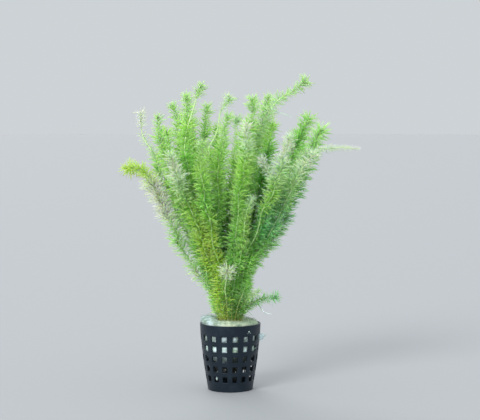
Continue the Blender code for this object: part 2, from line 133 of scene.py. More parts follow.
# Leaf colours, linear, some of them painted light and shade as marked. Each shoot goes through stops of
# (share of its length, colour).
MOSS = (0.18, 0.56, 0.08)
GRASS = (0.27, 0.74, 0.12)
LIME = (0.40, 0.83, 0.13)
# The next colour is painted light: a lighter, yellower green for leaves on the lit left side of the
# bunch.
SUN = (0.52, 0.86, 0.09)
# The next colour is painted shade: a darker, bluer green for leaves on the shaded right side of the
# bunch.
PAINTED_SHADE_TEAL = (0.12, 0.53, 0.17)
# The next colour is painted shade: a dark green for the low short shoots, where the bunch shades them.
PAINTED_SHADE = (0.07, 0.20, 0.03)
FRESH = (0.44, 0.84, 0.27)
SILVER = (0.64, 0.96, 0.52)
WHITE = (0.92, 1.0, 0.74)
PALE = (0.80, 1.0, 0.60)
FOOT = (0.38, 0.39, 0.05)
COMMON = [(0.0, FOOT), (0.16, MOSS), (0.45, GRASS), (0.8, LIME), (1.0, FRESH)]
# Painted light: the stops of the left-hand shoots, here, in the next line and in the pale left stops,
# are lighter and yellower, as that side is lit.
PAINTED_LIGHT_LEFT = [(0.0, FOOT), (0.14, GRASS), (0.45, GRASS), (0.75, LIME), (1.0, FRESH)]
PAINTED_LIGHT_LOW_LEFT = [(0.0, FOOT), (0.12, SUN), (0.45, SUN), (0.7, GRASS), (0.85, LIME), (1.0, FRESH)]
# Painted shade: the stops of the right-hand shoots, here and in the pale right stops, turn darker and
# bluer along their middle, as that side is in shade.
PAINTED_SHADE_RIGHT = [(0.0, FOOT), (0.12, GRASS), (0.4, GRASS), (0.58, PAINTED_SHADE_TEAL), (0.8, GRASS), (1.0, FRESH)]
BACK = [(0.0, FOOT), (0.15, GRASS), (0.4, MOSS), (0.6, MOSS), (0.85, GRASS), (1.0, LIME)]
PALE_TIP = [(0.0, FOOT), (0.16, MOSS), (0.5, GRASS), (0.82, LIME), (0.92, FRESH), (1.0, SILVER)]
PALE_BEND = [(0.0, FOOT), (0.16, MOSS), (0.5, GRASS), (0.82, LIME), (0.9, SILVER), (1.0, WHITE)]
PALE_LEFT = [(0.0, FOOT), (0.12, SUN), (0.45, SUN), (0.72, LIME), (0.87, SILVER), (0.94, WHITE),
             (1.0, SILVER)]
PALE_RIGHT = [(0.0, FOOT), (0.14, GRASS), (0.4, GRASS), (0.58, PAINTED_SHADE_TEAL), (0.78, FRESH), (0.87, SILVER),
              (0.95, WHITE), (1.0, SILVER)]

# What a shoot has of its own: its colours, how long its leaves are in millimetres, and the
# stretches, as (from, to, size, fullness), where its leaves differ in size or number.
LOOKS = {
    "shoot_left_arch": (
        [(0.0, FOOT), (0.14, GRASS), (0.32, FRESH), (0.35, WHITE), (0.38, FRESH), (0.6, FRESH),
         (0.68, WHITE), (0.84, WHITE), (0.89, SUN), (1.0, SUN)],
        7.5, [(0.2, 0.34, 0.9, 0.8), (0.39, 0.6, 0.9, 0.9), (0.64, 0.86, 1.1, 1.4),
              (0.87, 1.0, 1.15, 1.2)],
    ),
    "shoot_01": (
        [(0.0, FOOT), (0.14, GRASS), (0.6, LIME), (0.86, FRESH), (0.95, WHITE), (1.0, WHITE)],
        6.5, [(0.84, 0.94, 0.8, 0.4)],
    ),
    "shoot_02": (PAINTED_LIGHT_LEFT, 7.5, []),
    "shoot_03": (PAINTED_LIGHT_LEFT, 7.5, []),
    "shoot_04": (PAINTED_LIGHT_LEFT, 7.5, []),
    "shoot_05": (PAINTED_LIGHT_LOW_LEFT, 7.0, [(0.84, 0.94, 0.5, 0.25)]),
    "shoot_06": (COMMON, 7.5, []),
    "shoot_07": (PALE_TIP, 6.5, [(0.78, 0.94, 0.55, 0.3)]),
    "shoot_08": (PAINTED_LIGHT_LEFT, 7.5, []),
    "shoot_09": (PALE_TIP, 6.5, [(0.85, 0.95, 0.8, 0.5)]),
    "shoot_10": (COMMON, 7.5, []),
    "shoot_11": (COMMON, 7.5, []),
    "shoot_right_arch": (
        [(0.0, FOOT), (0.16, MOSS), (0.5, GRASS), (0.72, FRESH), (0.82, SILVER), (0.9, FRESH),
         (1.0, FRESH)],
        7.0, [(0.8, 0.93, 0.85, 0.75)],
    ),
    "shoot_12": (PAINTED_SHADE_RIGHT, 7.5, [(0.84, 1.0, 1.25, 1.3)]),
    "shoot_13": (PAINTED_SHADE_RIGHT, 7.5, [(0.84, 1.0, 1.25, 1.3)]),
    "shoot_bare_tip": (
        [(0.0, FOOT), (0.16, GRASS), (0.4, GRASS), (0.55, PAINTED_SHADE_TEAL), (0.66, FRESH), (0.8, SILVER),
         (1.0, WHITE)],
        6.5, [(0.76, 1.0, 0.55, 1.4), (0.66, 0.76, 0.6, 0.6)],
    ),
    "shoot_14": (PALE_RIGHT, 7.0, []),
    "shoot_15": (PALE_RIGHT, 7.5, []),
    "shoot_bent": (PALE_BEND, 6.5, [(0.3, 0.7, 0.6, 0.5)]),
    "shoot_16": (PALE_BEND, 7.5, []),
    "shoot_23": (PALE_LEFT, 7.5, []),
    "shoot_24": (PAINTED_LIGHT_LOW_LEFT, 7.5, []),
    "short_shoot_front": (PALE_TIP, 6.0, []),
    # The low short shoots below start dark green, as painted shade under the bunch.
    "short_shoot_white": (
        [(0.0, PAINTED_SHADE), (0.6, PAINTED_SHADE), (0.78, MOSS), (0.86, PALE), (1.0, PALE)],
        8.0, [(0.0, 0.82, 0.6, 0.35)],
    ),
    "short_shoot_dark": ([(0.0, PAINTED_SHADE), (0.6, PAINTED_SHADE), (1.0, MOSS)], 5.5, []),
    "short_shoot_low": ([(0.0, PAINTED_SHADE), (0.5, MOSS), (1.0, PAINTED_SHADE_TEAL)], 5.5, []),
    "short_shoot_right": ([(0.0, PAINTED_SHADE), (0.5, MOSS), (0.8, FRESH), (1.0, SILVER)], 5.5, []),
}
BACK_LOOK = (BACK, 8.5, [(0.1, 0.8, 1.0, 1.3)])

# How far the leaves at a tip spread, in radians from the stem, where they open like a star
OPEN_TIPS = {
    "short_shoot_white": 1.08, "shoot_05": 1.15, "shoot_07": 1.15, "shoot_09": 1.1,
    "shoot_01": 1.1, "shoot_right_arch": 1.1, "shoot_bare_tip": 1.1,
}
CLOSED_TIP = 0.85

# How a stem strays from its line, by a smooth noise, and the stems that stray less than the rest
STRAY_SIZE = 1.6
STRAY_SHIFTS = ((9.3, -1.5, -8.0), (-4.1, 6.7, 2.9), (3.6, -7.4, 5.2))
STEADY = {"shoot_bare_tip": 0.3}

# One leaf: its width along it, as (share of its length, share of its width), and how it bends
STATIONS = ((0.0, 0.6), (0.35, 1.0), (0.75, 0.85))
LEAF_BENDS = (0.04, 0.14, -0.18)
LEAF_TURN = 2.39996
LEAF_SCATTER = 0.45
LEAF_SWAY = 2.4 * MM

# Basket, as in the solids: a plain band over rows of square openings, and a slotted floor
POT_HEIGHT = 55.0 * MM
POT_RIM_RADIUS = 25.0 * MM
POT_BAND_RADIUS = 24.6 * MM
POT_MIDDLE_RADIUS = 22.2 * MM
POT_MIDDLE_HEIGHT = 24.0 * MM
POT_BASE_RADIUS = 18.4 * MM
POT_WALL = 1.3 * MM
OPENING_COLUMNS = 16
OPENING_ROWS = 5
OPENING_HEIGHT = 4.8 * MM
OPENING_PITCH = 8.4 * MM
TOP_OPENING_HEIGHT = 44.0 * MM
FIRST_OPENING_ANGLE = math.radians(-12.0)
FLOOR_SLOT_OUTER = 15.0 * MM
FLOOR_SLOT_INNER = 7.5 * MM
SHELL_SIDES = 8 * OPENING_COLUMNS

# Wool, as in the solids: rings of (radius, height), lowest first, and how its top is shaped
WOOL_SIDES = 64
WOOL_GAP = 0.45 * MM
WOOL_FOOT_RINGS = ((3.5 * MM, 21.0 * MM), (9.0 * MM, 21.0 * MM), (13.5 * MM, 23.6 * MM),
                   (17.5 * MM, 27.0 * MM))
WOOL_WALL_FOOT = 31.0 * MM
WOOL_WALL_STEP = 2.2 * MM
WOOL_CROWN_RADIUS = 17.5 * MM
WOOL_CROWN_HEIGHT = 57.8 * MM
WOOL_LUMP = 0.8 * MM
WOOL_LUMP_WAVES = ((3, 0.6, 1.0), (7, 0.4, 2.3))
WOOL_RAISED_SIDE = 2.0 * MM
WOOL_SUNK_SIDE = 1.0 * MM
WOOL_OVERHANG = 1.5 * MM
WOOL_SWELL = 0.9 * MM
FIBRE_RADIUS = 0.05 * MM
POCKET_RADIUS = 9.7 * MM
POCKET_EDGE_HEIGHT = 56.4 * MM
TUFT_COLUMN = 4
TUFT_LENGTH = 6.4 * MM
TUFT_WIDTH = 1.15 * MM
TUFT_LOBES = ((1.2 * MM, 1.0), (-1.3 * MM, 0.75))

# Crumbs of wool that cling to the band: (degrees from the front, height, size) in millimetres
CRUMBS = ((38.0, 50.1, 0.7), (41.0, 48.9, 0.55), (36.2, 48.8, 0.35))
CRUMB_FLATNESS = 0.5

# Threads: the wisp of wool in the pot, and the bare one behind the arching shoot on the right
WISP_POINTS = [(-8, -7, 25), (-9.5, -10, 18), (-10.5, -12.6, 13), (-11, -13.6, 9.5)]
STRAND_POINTS = [(33, -10, 231), (38, -10.5, 228.5), (43, -11, 226.5), (50, -11.5, 224)]

# Roots that grow down through the wool into the pot, near black as painted shade for the shade inside
# the pot. Their lengths and places are drawn.
HANGING_ROOTS = 60
HANGING_SEED = 11
HANGING_REACH = 14.0 * MM
HANGING_START = 26.0 * MM
HANGING_ENDS = (5.0 * MM, 12.0 * MM)

# Colours of the wool, of the basket's film and sheen, and of the threads, linear. The basket's sheen is
# tinted blue as a painted reflection, and the dark of the wool low in the pot and of the roots that
# hang there is painted shade.
WOOL_CREAM = (0.55, 0.62, 0.42)
WOOL_PAINTED_SHADE = (0.06, 0.08, 0.07)
PLASTIC_FILM = (0.035, 0.05, 0.07)
PAINTED_BLUE_REFLECTION = (0.55, 0.76, 1.0)
ROOT_WHITE = (0.86, 0.94, 0.94)
ROOT_PAINTED_SHADE = (0.06, 0.07, 0.05)
STRAND_GREEN = (0.62, 0.86, 0.60)

# The stage: a wide floor, a light that is soft above and as bright as the floor at its edge,
# two soft suns as (name, where it shines from, degrees across, strength), and the camera, with
# how far it looks down in degrees and its lens in millimetres
FLOOR_HALF = 40.0
HORIZON_LIGHT = (0.61, 0.645, 0.67)
SKY_LIGHT = (0.98, 1.03, 1.08)
SUNS = (("key_light", (-0.6, -0.95, 0.65), 25.0, 2.1), ("rim_light", (-0.3, 0.9, 0.9), 30.0, 0.8))
CAMERA_PLACE = (0.008, -1.1976, 0.2233)
CAMERA_DOWN = 3.6
CAMERA_LENS = 109.7


class BogmossSettings(bpy.types.PropertyGroup):
    leaf_width: bpy.props.FloatProperty(
        name="Leaf width", description="Width of a leaf as a share of its length",
        default=0.07, min=0.02, max=0.3,
    )
    leaf_spacing: bpy.props.FloatProperty(
        name="Leaf spacing", description="Distance between leaves where they are closest",
        default=0.08 * MM, min=0.05 * MM, unit="LENGTH", precision=5,
    )
    leaf_fullness: bpy.props.FloatProperty(
        name="Fullness", description="Share of the leaves that a common stretch of stem keeps",
        default=0.7, min=0.0, max=1.0, subtype="FACTOR",
    )
    stem_radius: bpy.props.FloatProperty(
        name="Stem radius", description="Radius of a stem above the wool",
        default=0.5 * MM, min=0.1 * MM, unit="LENGTH", precision=5,
    )
    stem_wander: bpy.props.FloatProperty(
        name="Stem wander", description="How far a stem strays from its smooth line",
        default=2.2 * MM, min=0.0, unit="LENGTH", precision=5,
    )
    stem_colour: bpy.props.FloatVectorProperty(
        name="Stem colour", description="Colour of the stems between their leaves",
        default=(0.70, 0.90, 0.46), min=0.0, max=1.0, subtype="COLOR",
    )
    plastic_colour: bpy.props.FloatVectorProperty(
        name="Plastic colour", description="Colour of the basket",
        default=(0.009, 0.013, 0.018), min=0.0, max=1.0, subtype="COLOR",
    )
    pot_edge: bpy.props.FloatProperty(
        name="Moulded edge", description="How far the edges of the basket are rounded",
        default=0.3 * MM, min=0.05 * MM, unit="LENGTH", precision=5,
    )
    wool_colour: bpy.props.FloatVectorProperty(
        name="Wool colour", description="Colour of the mineral wool",
        default=(0.54, 0.65, 0.68), min=0.0, max=1.0, subtype="COLOR",
    )
    # This colour serves both as the wool's own wet mottling and as the painted shade on the right of
    # its top.
    wool_damp_and_shade_colour: bpy.props.FloatVectorProperty(
        name="Damp wool colour", description="Colour of the wool where it is wet or stained",
        default=(0.21, 0.29, 0.21), min=0.0, max=1.0, subtype="COLOR",
    )
    wool_lump: bpy.props.FloatProperty(
        name="Wool lumps", description="How deep the lumps of the wool are",
        default=1.9 * MM, min=0.0, unit="LENGTH", precision=5,
    )
    fibre_length: bpy.props.FloatProperty(
        name="Fibre length", description="Length of the loose fibres of the wool",
        default=2.2 * MM, min=0.2 * MM, unit="LENGTH", precision=5,
    )
    fibre_density: bpy.props.FloatProperty(
        name="Fibre density", description="Loose fibres on a square metre of wool",
        default=1.1e6, min=0.0,
    )
    floor_colour: bpy.props.FloatVectorProperty(
        name="Floor colour", description="Colour of the plain floor",
        default=(0.34, 0.35, 0.36), min=0.0, max=1.0, subtype="COLOR",
    )


def settings():
    return bpy.context.scene.bogmoss


class Wiring:
    """One node tree, with short ways to add the nodes that it needs more than once."""

    def __init__(self, tree):
        self.tree = tree

    def feed(self, value, socket):
        """Links another node's output to an input, or sets the input to a value."""
        if isinstance(value, bpy.types.NodeSocket):
            self.tree.links.new(value, socket)
        else:
            socket.default_value = value

    def add(self, kind, inputs=None, **options):
        """Adds a node with these options, and feeds the inputs that are given by key."""
        node = self.tree.nodes.new(kind)
        for key, value in options.items():
            setattr(node, key, value)
        for key, value in (inputs or {}).items():
            self.feed(value, node.inputs[key])
        return node

    def calculate(self, operation, *values):
        return self.add("ShaderNodeMath", dict(enumerate(values)), operation=operation).outputs[0]

    def product(self, first, *others):
        for other in others:
            first = self.calculate("MULTIPLY", first, other)
        return first

    def total(self, first, *others):
        for other in others:
            first = self.calculate("ADD", first, other)
        return first

    def distance(self, x, y):
        return self.calculate("SQRT", self.total(self.product(x, x), self.product(y, y)))

    def axes(self, place):
        return self.add("ShaderNodeSeparateXYZ", {0: place}).outputs

    def scaled(self, vector, amount):
        inputs = {0: vector, "Scale": amount}
        return self.add("ShaderNodeVectorMath", inputs, operation="SCALE").outputs[0]

    def cloud(self, place, scale, detail, more=None):
        """A noise in space, as its value and its colour."""
        return self.add("ShaderNodeTexNoise", {0: place, 2: scale, 3: detail, **(more or {})}).outputs

    def grain(self, along, scale, detail):
        """A noise along a line."""
        inputs = {1: along, 2: scale, 3: detail}
        return self.add("ShaderNodeTexNoise", inputs, noise_dimensions="1D").outputs[0]

    def ramp(self, value, low, high, start=0.0, end=1.0, **options):
        """Goes from start to end as the value goes from low to high."""
        inputs = {0: value, 1: low, 2: high, 3: start, 4: end}
        return self.add("ShaderNodeMapRange", inputs, **options).outputs[0]

    def mix(self, share, first, second, blend="MIX"):
        """One colour over another, by this share."""
        node = self.add("ShaderNodeMix", {0: share}, data_type="RGBA", blend_type=blend)
        for key, colour in ((6, first), (7, second)):
            if not isinstance(colour, bpy.types.NodeSocket):
                colour = (*colour[:3], 1.0)
            self.feed(colour, node.inputs[key])
        return node.outputs[2]

    def stops(self, along, colours):
        """A colour that goes through stops of (share, colour)."""
        node = self.add("ShaderNodeValToRGB", {0: along})
        elements = node.color_ramp.elements
        for _ in range(len(colours) - 2):
            elements.new(0.5)
        for element, (share, colour) in zip(elements, colours):
            element.position = share
            element.color = (*colour, 1.0)
        return node.outputs[0]

    def object_place(self):
        return self.add("ShaderNodeTexCoord").outputs["Object"]

    def bump(self, shader, strength, depth, height):
        node = self.add("ShaderNodeBump", {0: strength, 1: depth, 3: height})
        self.feed(node.outputs[0], shader.inputs["Normal"])

    def named(self, key):
        return self.add("GeometryNodeInputNamedAttribute", {0: key}, data_type="FLOAT").outputs[0]

    def store(self, geometry, key, value, kind="FLOAT", domain="POINT"):
        inputs = {0: geometry, 2: key, 3: value}
        options = {"data_type": kind, "domain": domain}
        return self.add("GeometryNodeStoreNamedAttribute", inputs, **options).outputs[0]

    def chance(self, low, high, seed):
        inputs = {2: low, 3: high, 8: seed}
        return self.add("FunctionNodeRandomValue", inputs, data_type="FLOAT").outputs[1]

    def turn(self, rotation, axis, angle):
        """Turns a rotation further about one of its own axes."""
        step = self.add("FunctionNodeAxisAngleToRotation", {0: axis, 1: angle}).outputs[0]
        inputs = {0: rotation, 1: step}
        return self.add("FunctionNodeRotateRotation", inputs, rotation_space="LOCAL").outputs[0]

    def circle(self, sides):
        return self.add("GeometryNodeCurvePrimitiveCircle", {0: sides, 4: 1.0}).outputs[0]

    def tube(self, line, ring, radius):
        inputs = {0: line, 1: ring, 2: radius, 3: True}
        return self.add("GeometryNodeCurveToMesh", inputs).outputs[0]

    def shift(self, geometry, step):
        return self.add("GeometryNodeSetPosition", {0: geometry, 3: step}).outputs[0]

    def sway(self, geometry, scale, amount):
        """Shifts the points by a smooth noise in space."""
        place = self.add("GeometryNodeInputPosition").outputs[0]
        inputs = {0: self.cloud(place, scale, 1.0)[1], 1: (0.5, 0.5, 0.5)}
        wave = self.add("ShaderNodeVectorMath", inputs, operation="SUBTRACT").outputs[0]
        return self.shift(geometry, self.scaled(wave, amount))

    def paint(self, geometry, material):
        return self.add("GeometryNodeSetMaterial", {0: geometry, 2: material}).outputs[0]

    def smooth(self, *parts):
        """Joins the parts, and shades them smooth."""
        both = self.add("GeometryNodeJoinGeometry")
        for part in parts:
            self.tree.links.new(part, both.inputs[0])
        return self.add("GeometryNodeSetShadeSmooth", {0: both.outputs[0]}).outputs[0]

    def end(self, geometry):
        self.add("NodeGroupOutput", {0: geometry})
        return self.tree


def new_tree(name, inputs):
    """A Geometry Nodes tree with a mesh in, a mesh out, and the named inputs."""
    tree = bpy.data.node_groups.new(name, "GeometryNodeTree")
    tree.interface.new_socket("Geometry", in_out="OUTPUT", socket_type="NodeSocketGeometry")
    tree.interface.new_socket("Geometry", in_out="INPUT", socket_type="NodeSocketGeometry")
    for key, kind in inputs.items():
        tree.interface.new_socket(key, in_out="INPUT", socket_type="NodeSocket" + kind)
    return Wiring(tree), tree.nodes.new("NodeGroupInput").outputs


def grow(obj, tree, values):
    """Runs a tree on an object with these inputs, and leaves its result as a plain mesh."""
    modifier = obj.modifiers.new(tree.name, "NODES")
    modifier.node_group = tree
    for item in tree.interface.items_tree:
        if item.in_out == "INPUT" and item.name in values:
            modifier[item.identifier] = values[item.name]
    return bake(obj)


def bake(obj):
    """Leaves what the object's modifiers make of it as a plain mesh, with no empty material slot."""
    bpy.context.view_layer.update()
    graph = bpy.context.evaluated_depsgraph_get()
    mesh = bpy.data.meshes.new_from_object(obj.evaluated_get(graph))
    if not mesh.polygons:
        raise RuntimeError(f"{obj.name} came out empty")
    obj.modifiers.clear()
    obj.data = mesh
    slots = list(mesh.materials)
    if None not in slots:
        return obj
    chosen = np.empty(len(mesh.polygons), np.int32)
    mesh.polygons.foreach_get("material_index", chosen)
    filled = [k for k, material in enumerate(slots) if material]
    places = np.zeros(len(slots), np.int32)
    places[filled] = np.arange(len(filled))
    mesh.materials.clear()
    for k in filled:
        mesh.materials.append(slots[k])
    mesh.polygons.foreach_set("material_index", places[chosen])
    return obj


def link_object(name, mesh):
    obj = bpy.data.objects.new(name, mesh)
    bpy.context.scene.collection.objects.link(obj)
    return obj


def new_material(name, values):
    """A material, its wiring and its shader, with these values set on the shader's own sockets."""
    material = bpy.data.materials.new(name)
    material.use_nodes = True
    shader = material.node_tree.nodes["Principled BSDF"]
    for key, value in values.items():
        shader.inputs[key].default_value = value
    return material, Wiring(material.node_tree), shader


def leaf_material(name, colours):
    """Leaves coloured along the shoot by U, and from base to tip by V. No two leaves are alike."""
    material, w, shader = new_material(name, {
        "Roughness": 0.55, "Specular IOR Level": 0.2, "Subsurface Weight": 0.6,
        "Subsurface Radius": (0.6, 1.0, 0.25), "Subsurface Scale": 1.2 * MM,
    })
    u, v, _ = w.axes(w.add("ShaderNodeUVMap", uv_map=LEAF_UV).outputs[0])
    bright = w.ramp(w.grain(u, 340.0, 0.0), 0.3, 0.7, 0.7, 1.3)
    varied = w.mix(1.0, w.stops(u, colours), bright, "MULTIPLY")
    pale = w.ramp(w.grain(u, 120.0, 2.0), 0.58, 0.7, 0.0, 0.45)
    patched = w.mix(pale, varied, SILVER)
    tip = w.ramp(v, 0.35, 1.0, 0.0, 0.2)
    w.feed(w.mix(tip, patched, FRESH), shader.inputs["Base Color"])
    return material


def stem_material():
    """Pale green stems, brown at the foot, with fine lengthwise streaks."""
    material, w, shader = new_material("stem_skin", {"Roughness": 0.4})
    place = w.object_place()
    low = w.ramp(w.axes(place)[2], 0.058, 0.085)
    grown = w.mix(low, FOOT, settings().stem_colour)
    drawn = w.add("ShaderNodeMapping", {0: place, 3: (900.0, 900.0, 90.0)}).outputs[0]
    tint = w.ramp(w.cloud(drawn, 1.0, 2.0)[0], 0.3, 0.7, 0.7, 1.25)
    w.feed(w.mix(1.0, grown, tint, "MULTIPLY"), shader.inputs["Base Color"])
    return material


def thread_material(name, colour):
    """A bare thread of the plant: a little glassy, darker and lighter along its length."""
    material, w, shader = new_material(name, {
        "Roughness": 0.4, "Subsurface Weight": 0.4, "Subsurface Radius": (1.0, 1.0, 0.8),
        "Subsurface Scale": 0.5 * MM,
    })
    bright = w.ramp(w.cloud(w.object_place(), 420.0, 2.0)[0], 0.3, 0.7, 0.7, 1.15)
    w.feed(w.mix(1.0, colour, bright, "MULTIPLY"), shader.inputs["Base Color"])
    return material


def plastic_material():
    """Black plastic with the soft sheen of a moulding, fine scuffs and a thin film in places. Its
    reflections are tinted blue, a painted reflection of blue surroundings.
    """
    material, w, shader = new_material("moulded_plastic", {
        # Painted reflection: the blue specular tint stands for blue surroundings reflected in the
        # plastic.
        "Roughness": 0.4, "Specular IOR Level": 0.4, "Specular Tint": (*PAINTED_BLUE_REFLECTION, 1.0),
    })
    place = w.object_place()
    cloud = w.cloud(place, 160.0, 4.0)[0]
    film = w.ramp(cloud, 0.5, 0.75, 0.0, 0.25)
    w.feed(w.mix(film, settings().plastic_colour, PLASTIC_FILM), shader.inputs["Base Color"])
    w.feed(w.ramp(cloud, 0.3, 0.7, 0.32, 0.5), shader.inputs["Roughness"])
    flat = w.add("ShaderNodeMapping", {0: place, 3: (500.0, 500.0, 2600.0)}).outputs[0]
    w.bump(shader, 0.25, 0.05 * MM, w.cloud(flat, 1.0, 3.0)[0])
    return material


def wool_material():
    """Damp mineral wool: pale, mottled, felted by fine fibres, and stained where the stems stand, with
    painted light and shade by height and side.
    """
    material, w, shader = new_material("felted_fibres", {"Roughness": 0.95, "Specular IOR Level": 0.2})
    damp_and_shade = settings().wool_damp_and_shade_colour
    place = w.object_place()
    x, y, z = w.axes(place)
    radius = w.distance(x, y)
    cloud = w.cloud(place, 210.0, 5.0, {4: 0.65})[0]
    over_rim = w.ramp(z, 0.050, 0.054)
    creamy = w.product(w.ramp(x, -0.018, -0.004, 0.0, 0.9), over_rim)
    dry = w.mix(creamy, settings().wool_colour, WOOL_CREAM)
    wool = w.mix(w.ramp(cloud, 0.35, 0.62), damp_and_shade, dry)
    # Painted shade: the right of the plug's top is mixed towards the wet colour, as it lies in shade.
    painted_shade_right = w.product(w.ramp(x, 0.004, 0.020, 0.0, 0.45), over_rim)
    wool = w.mix(painted_shade_right, wool, damp_and_shade)

    # Painted light and shade: the wool low in the pot, behind the openings, is painted lighter, and the
    # wool from 41 mm up to the rim darker, as in the band's shade; the top over the rim is a little
    # lighter again, and what is drawn out past the band, the tuft and the crumbs, lighter still.
    inside = w.ramp(z, 0.038, 0.041, 1.6, 0.8)
    painted_light_outside = w.ramp(radius, 0.0243, 0.0255, 0.0, 0.6)
    lit = w.calculate("MULTIPLY_ADD", over_rim, 0.25, inside)
    wool = w.mix(1.0, wool, w.total(lit, painted_light_outside), "MULTIPLY")
    # Painted shade: the wool low in the pot, from just left of the middle rightwards, is painted near
    # black, as the shade inside the pot.
    painted_shade_low = w.product(w.ramp(z, 0.030, 0.033, 0.85, 0.0), w.ramp(x, -0.0045, -0.0015))
    wool = w.mix(painted_shade_low, wool, WOOL_PAINTED_SHADE)
    ragged = w.calculate("MULTIPLY_ADD", cloud, 6.0 * MM, radius)
    stain = w.product(w.ramp(ragged, 0.0125, 0.0155, 0.85, 0.0), w.ramp(z, 0.040, 0.052))
    w.feed(w.mix(stain, wool, FOOT), shader.inputs["Base Color"])
    w.bump(shader, 0.7, 0.25 * MM, w.cloud(place, 2200.0, 3.0, {8: 1.5})[0])
    return material


def leaf_blades():
    """Three closed leaf blades of unit length along Z, bent to different degrees towards X."""
    blades = bpy.data.collections.new("leaf_blades")
    width = settings().leaf_width / 2
    for number, bend in enumerate(LEAF_BENDS):
        points, along, side = [], [], []
        for share, size in STATIONS:
            middle = bend * share * share
            half = width * size
            for dx, dy in ((0.0, -half), (half * 0.8, 0.0), (0.0, half)):
                points.append((middle + dx, dy, share))
                along.append(share)
                side.append(dy / width)
        points.append((bend, 0.0, 1.0))
        along.append(1.0)
        side.append(0.0)
        faces = [(0, 2, 1)]
        for level in range(len(STATIONS) - 1):
            for k in range(3):
                low, beside = 3 * level + k, 3 * level + (k + 1) % 3
                faces.append((low, beside, beside + 3, low + 3))
        last = 3 * (len(STATIONS) - 1)
        faces += [(last + k, last + (k + 1) % 3, len(points) - 1) for k in range(3)]
        mesh = bpy.data.meshes.new(f"leaf_blade_{number}")
        mesh.from_pydata(points, [], faces)
        mesh.shade_smooth()
        for key, values in (("leaf_along", along), ("leaf_side", side)):
            mesh.attributes.new(key, "FLOAT", "POINT").data.foreach_set("value", values)
        blades.objects.link(bpy.data.objects.new(mesh.name, mesh))
    return blades


def shoot_tree():
    """Covers a line with a stem and a spiral of leaves, sized and turned by the line's values."""
    w, group = new_tree("Leafy shoot", {
        "Stem radius": "Float", "Leaf spacing": "Float", "Leaf blades": "Collection",
        "Stem material": "Material", "Leaf material": "Material", "Seed": "Int", "Sway": "Float",
    })

    def chance(low, high, salt):
        return w.chance(low, high, w.total(group["Seed"], float(salt)))

    line = w.add("GeometryNodeMeshToCurve", {0: group["Geometry"]}).outputs[0]
    across = w.add("GeometryNodeSplineParameter").outputs[0]
    ring = w.store(w.circle(6), "leaf_side", across)
    stem = w.tube(line, ring, w.product(group["Stem radius"], w.named("stem_size")))
    side = w.product(w.named("leaf_side"), 0.06)
    stem_place = w.add("ShaderNodeCombineXYZ", {0: w.named("shoot_place"), 1: side}).outputs[0]
    stem = w.store(stem, LEAF_UV, stem_place, "FLOAT2", "CORNER")
    stem = w.paint(stem, group["Stem material"])

    spots = w.add("GeometryNodeCurveToPoints", {0: line, 2: group["Leaf spacing"]}, mode="LENGTH")
    missing = w.calculate("GREATER_THAN", chance(0.0, 1.0, 1), w.named("leaf_fill"))
    kept = w.add("GeometryNodeDeleteGeometry", {0: spots.outputs[0], 1: missing}, domain="POINT")
    kept = w.store(kept.outputs[0], "leaf_hue", chance(-0.012, 0.012, 2))
    index = w.add("GeometryNodeInputIndex").outputs[0]
    round_stem = w.total(w.product(index, LEAF_TURN), chance(-0.5, 0.5, 3))
    loose = w.product(w.named("leaf_loose"), chance(-1.0, 1.0, 4))
    aim = w.turn(spots.outputs["Rotation"], (0.0, 0.0, 1.0), round_stem)
    aim = w.turn(aim, (0.0, 1.0, 0.0), w.total(w.named("leaf_lean"), loose))
    aim = w.turn(aim, (0.0, 0.0, 1.0), chance(-1.1, 1.1, 6))
    size = w.product(w.named("leaf_size"), chance(0.6, 1.15, 5))
    blades = w.add("GeometryNodeCollectionInfo", {0: group["Leaf blades"], 1: True, 2: True}).outputs[0]
    last = len(LEAF_BENDS) - 1
    pick = w.add("FunctionNodeRandomValue", {4: 0, 5: last, 8: group["Seed"]}, data_type="INT")
    leaves = w.add("GeometryNodeInstanceOnPoints", {
        0: kept, 2: blades, 3: True, 4: pick.outputs[2], 5: aim, 6: size,
    })
    leaves = w.add("GeometryNodeRealizeInstances", {0: leaves.outputs[0]}).outputs[0]
    give = w.product(w.calculate("POWER", w.named("leaf_along"), 1.6), group["Sway"])
    leaves = w.sway(leaves, 130.0, give)
    wide = w.product(w.named("leaf_side"), 0.0012)
    u = w.total(w.named("shoot_place"), w.named("leaf_hue"), wide)
    v = w.calculate("MULTIPLY_ADD", w.named("leaf_along"), 0.88, 0.1)
    leaf_place = w.add("ShaderNodeCombineXYZ", {0: u, 1: v}).outputs[0]
    leaves = w.store(leaves, LEAF_UV, leaf_place, "FLOAT2", "CORNER")
    leaves = w.paint(leaves, group["Leaf material"])
    return w.end(w.smooth(leaves, stem))


def foot_aim(point):
    """Where a stem that passes through this point would enter the wool, as the bunch fans out."""
    share = (WOOL_TOP - FAN_HEIGHT) / (point[2] - FAN_HEIGHT)
    return point[0] * share, point[1] * min(1.0, share * FAN_FLATNESS)


def spread_feet(points):
    """Moves the feet apart in plan, a little at a time, until they stand side by side."""
    feet = np.array(points)
    for _ in range(SPREAD_ROUNDS):
        apart = feet[:, None] - feet[None]
        distance = np.linalg.norm(apart, axis=2) + np.eye(len(feet))
        short = np.clip(FOOT_SPACING - distance, 0.0, None) * (1.0 - np.eye(len(feet)))
        feet = feet + SPREAD_SHARE * (apart / distance[..., None] * short[..., None]).sum(axis=1)
        radius = np.linalg.norm(feet, axis=1, keepdims=True)
        feet = feet * np.minimum(1.0, FOOT_LIMIT / np.maximum(radius, 1e-9))
    return feet


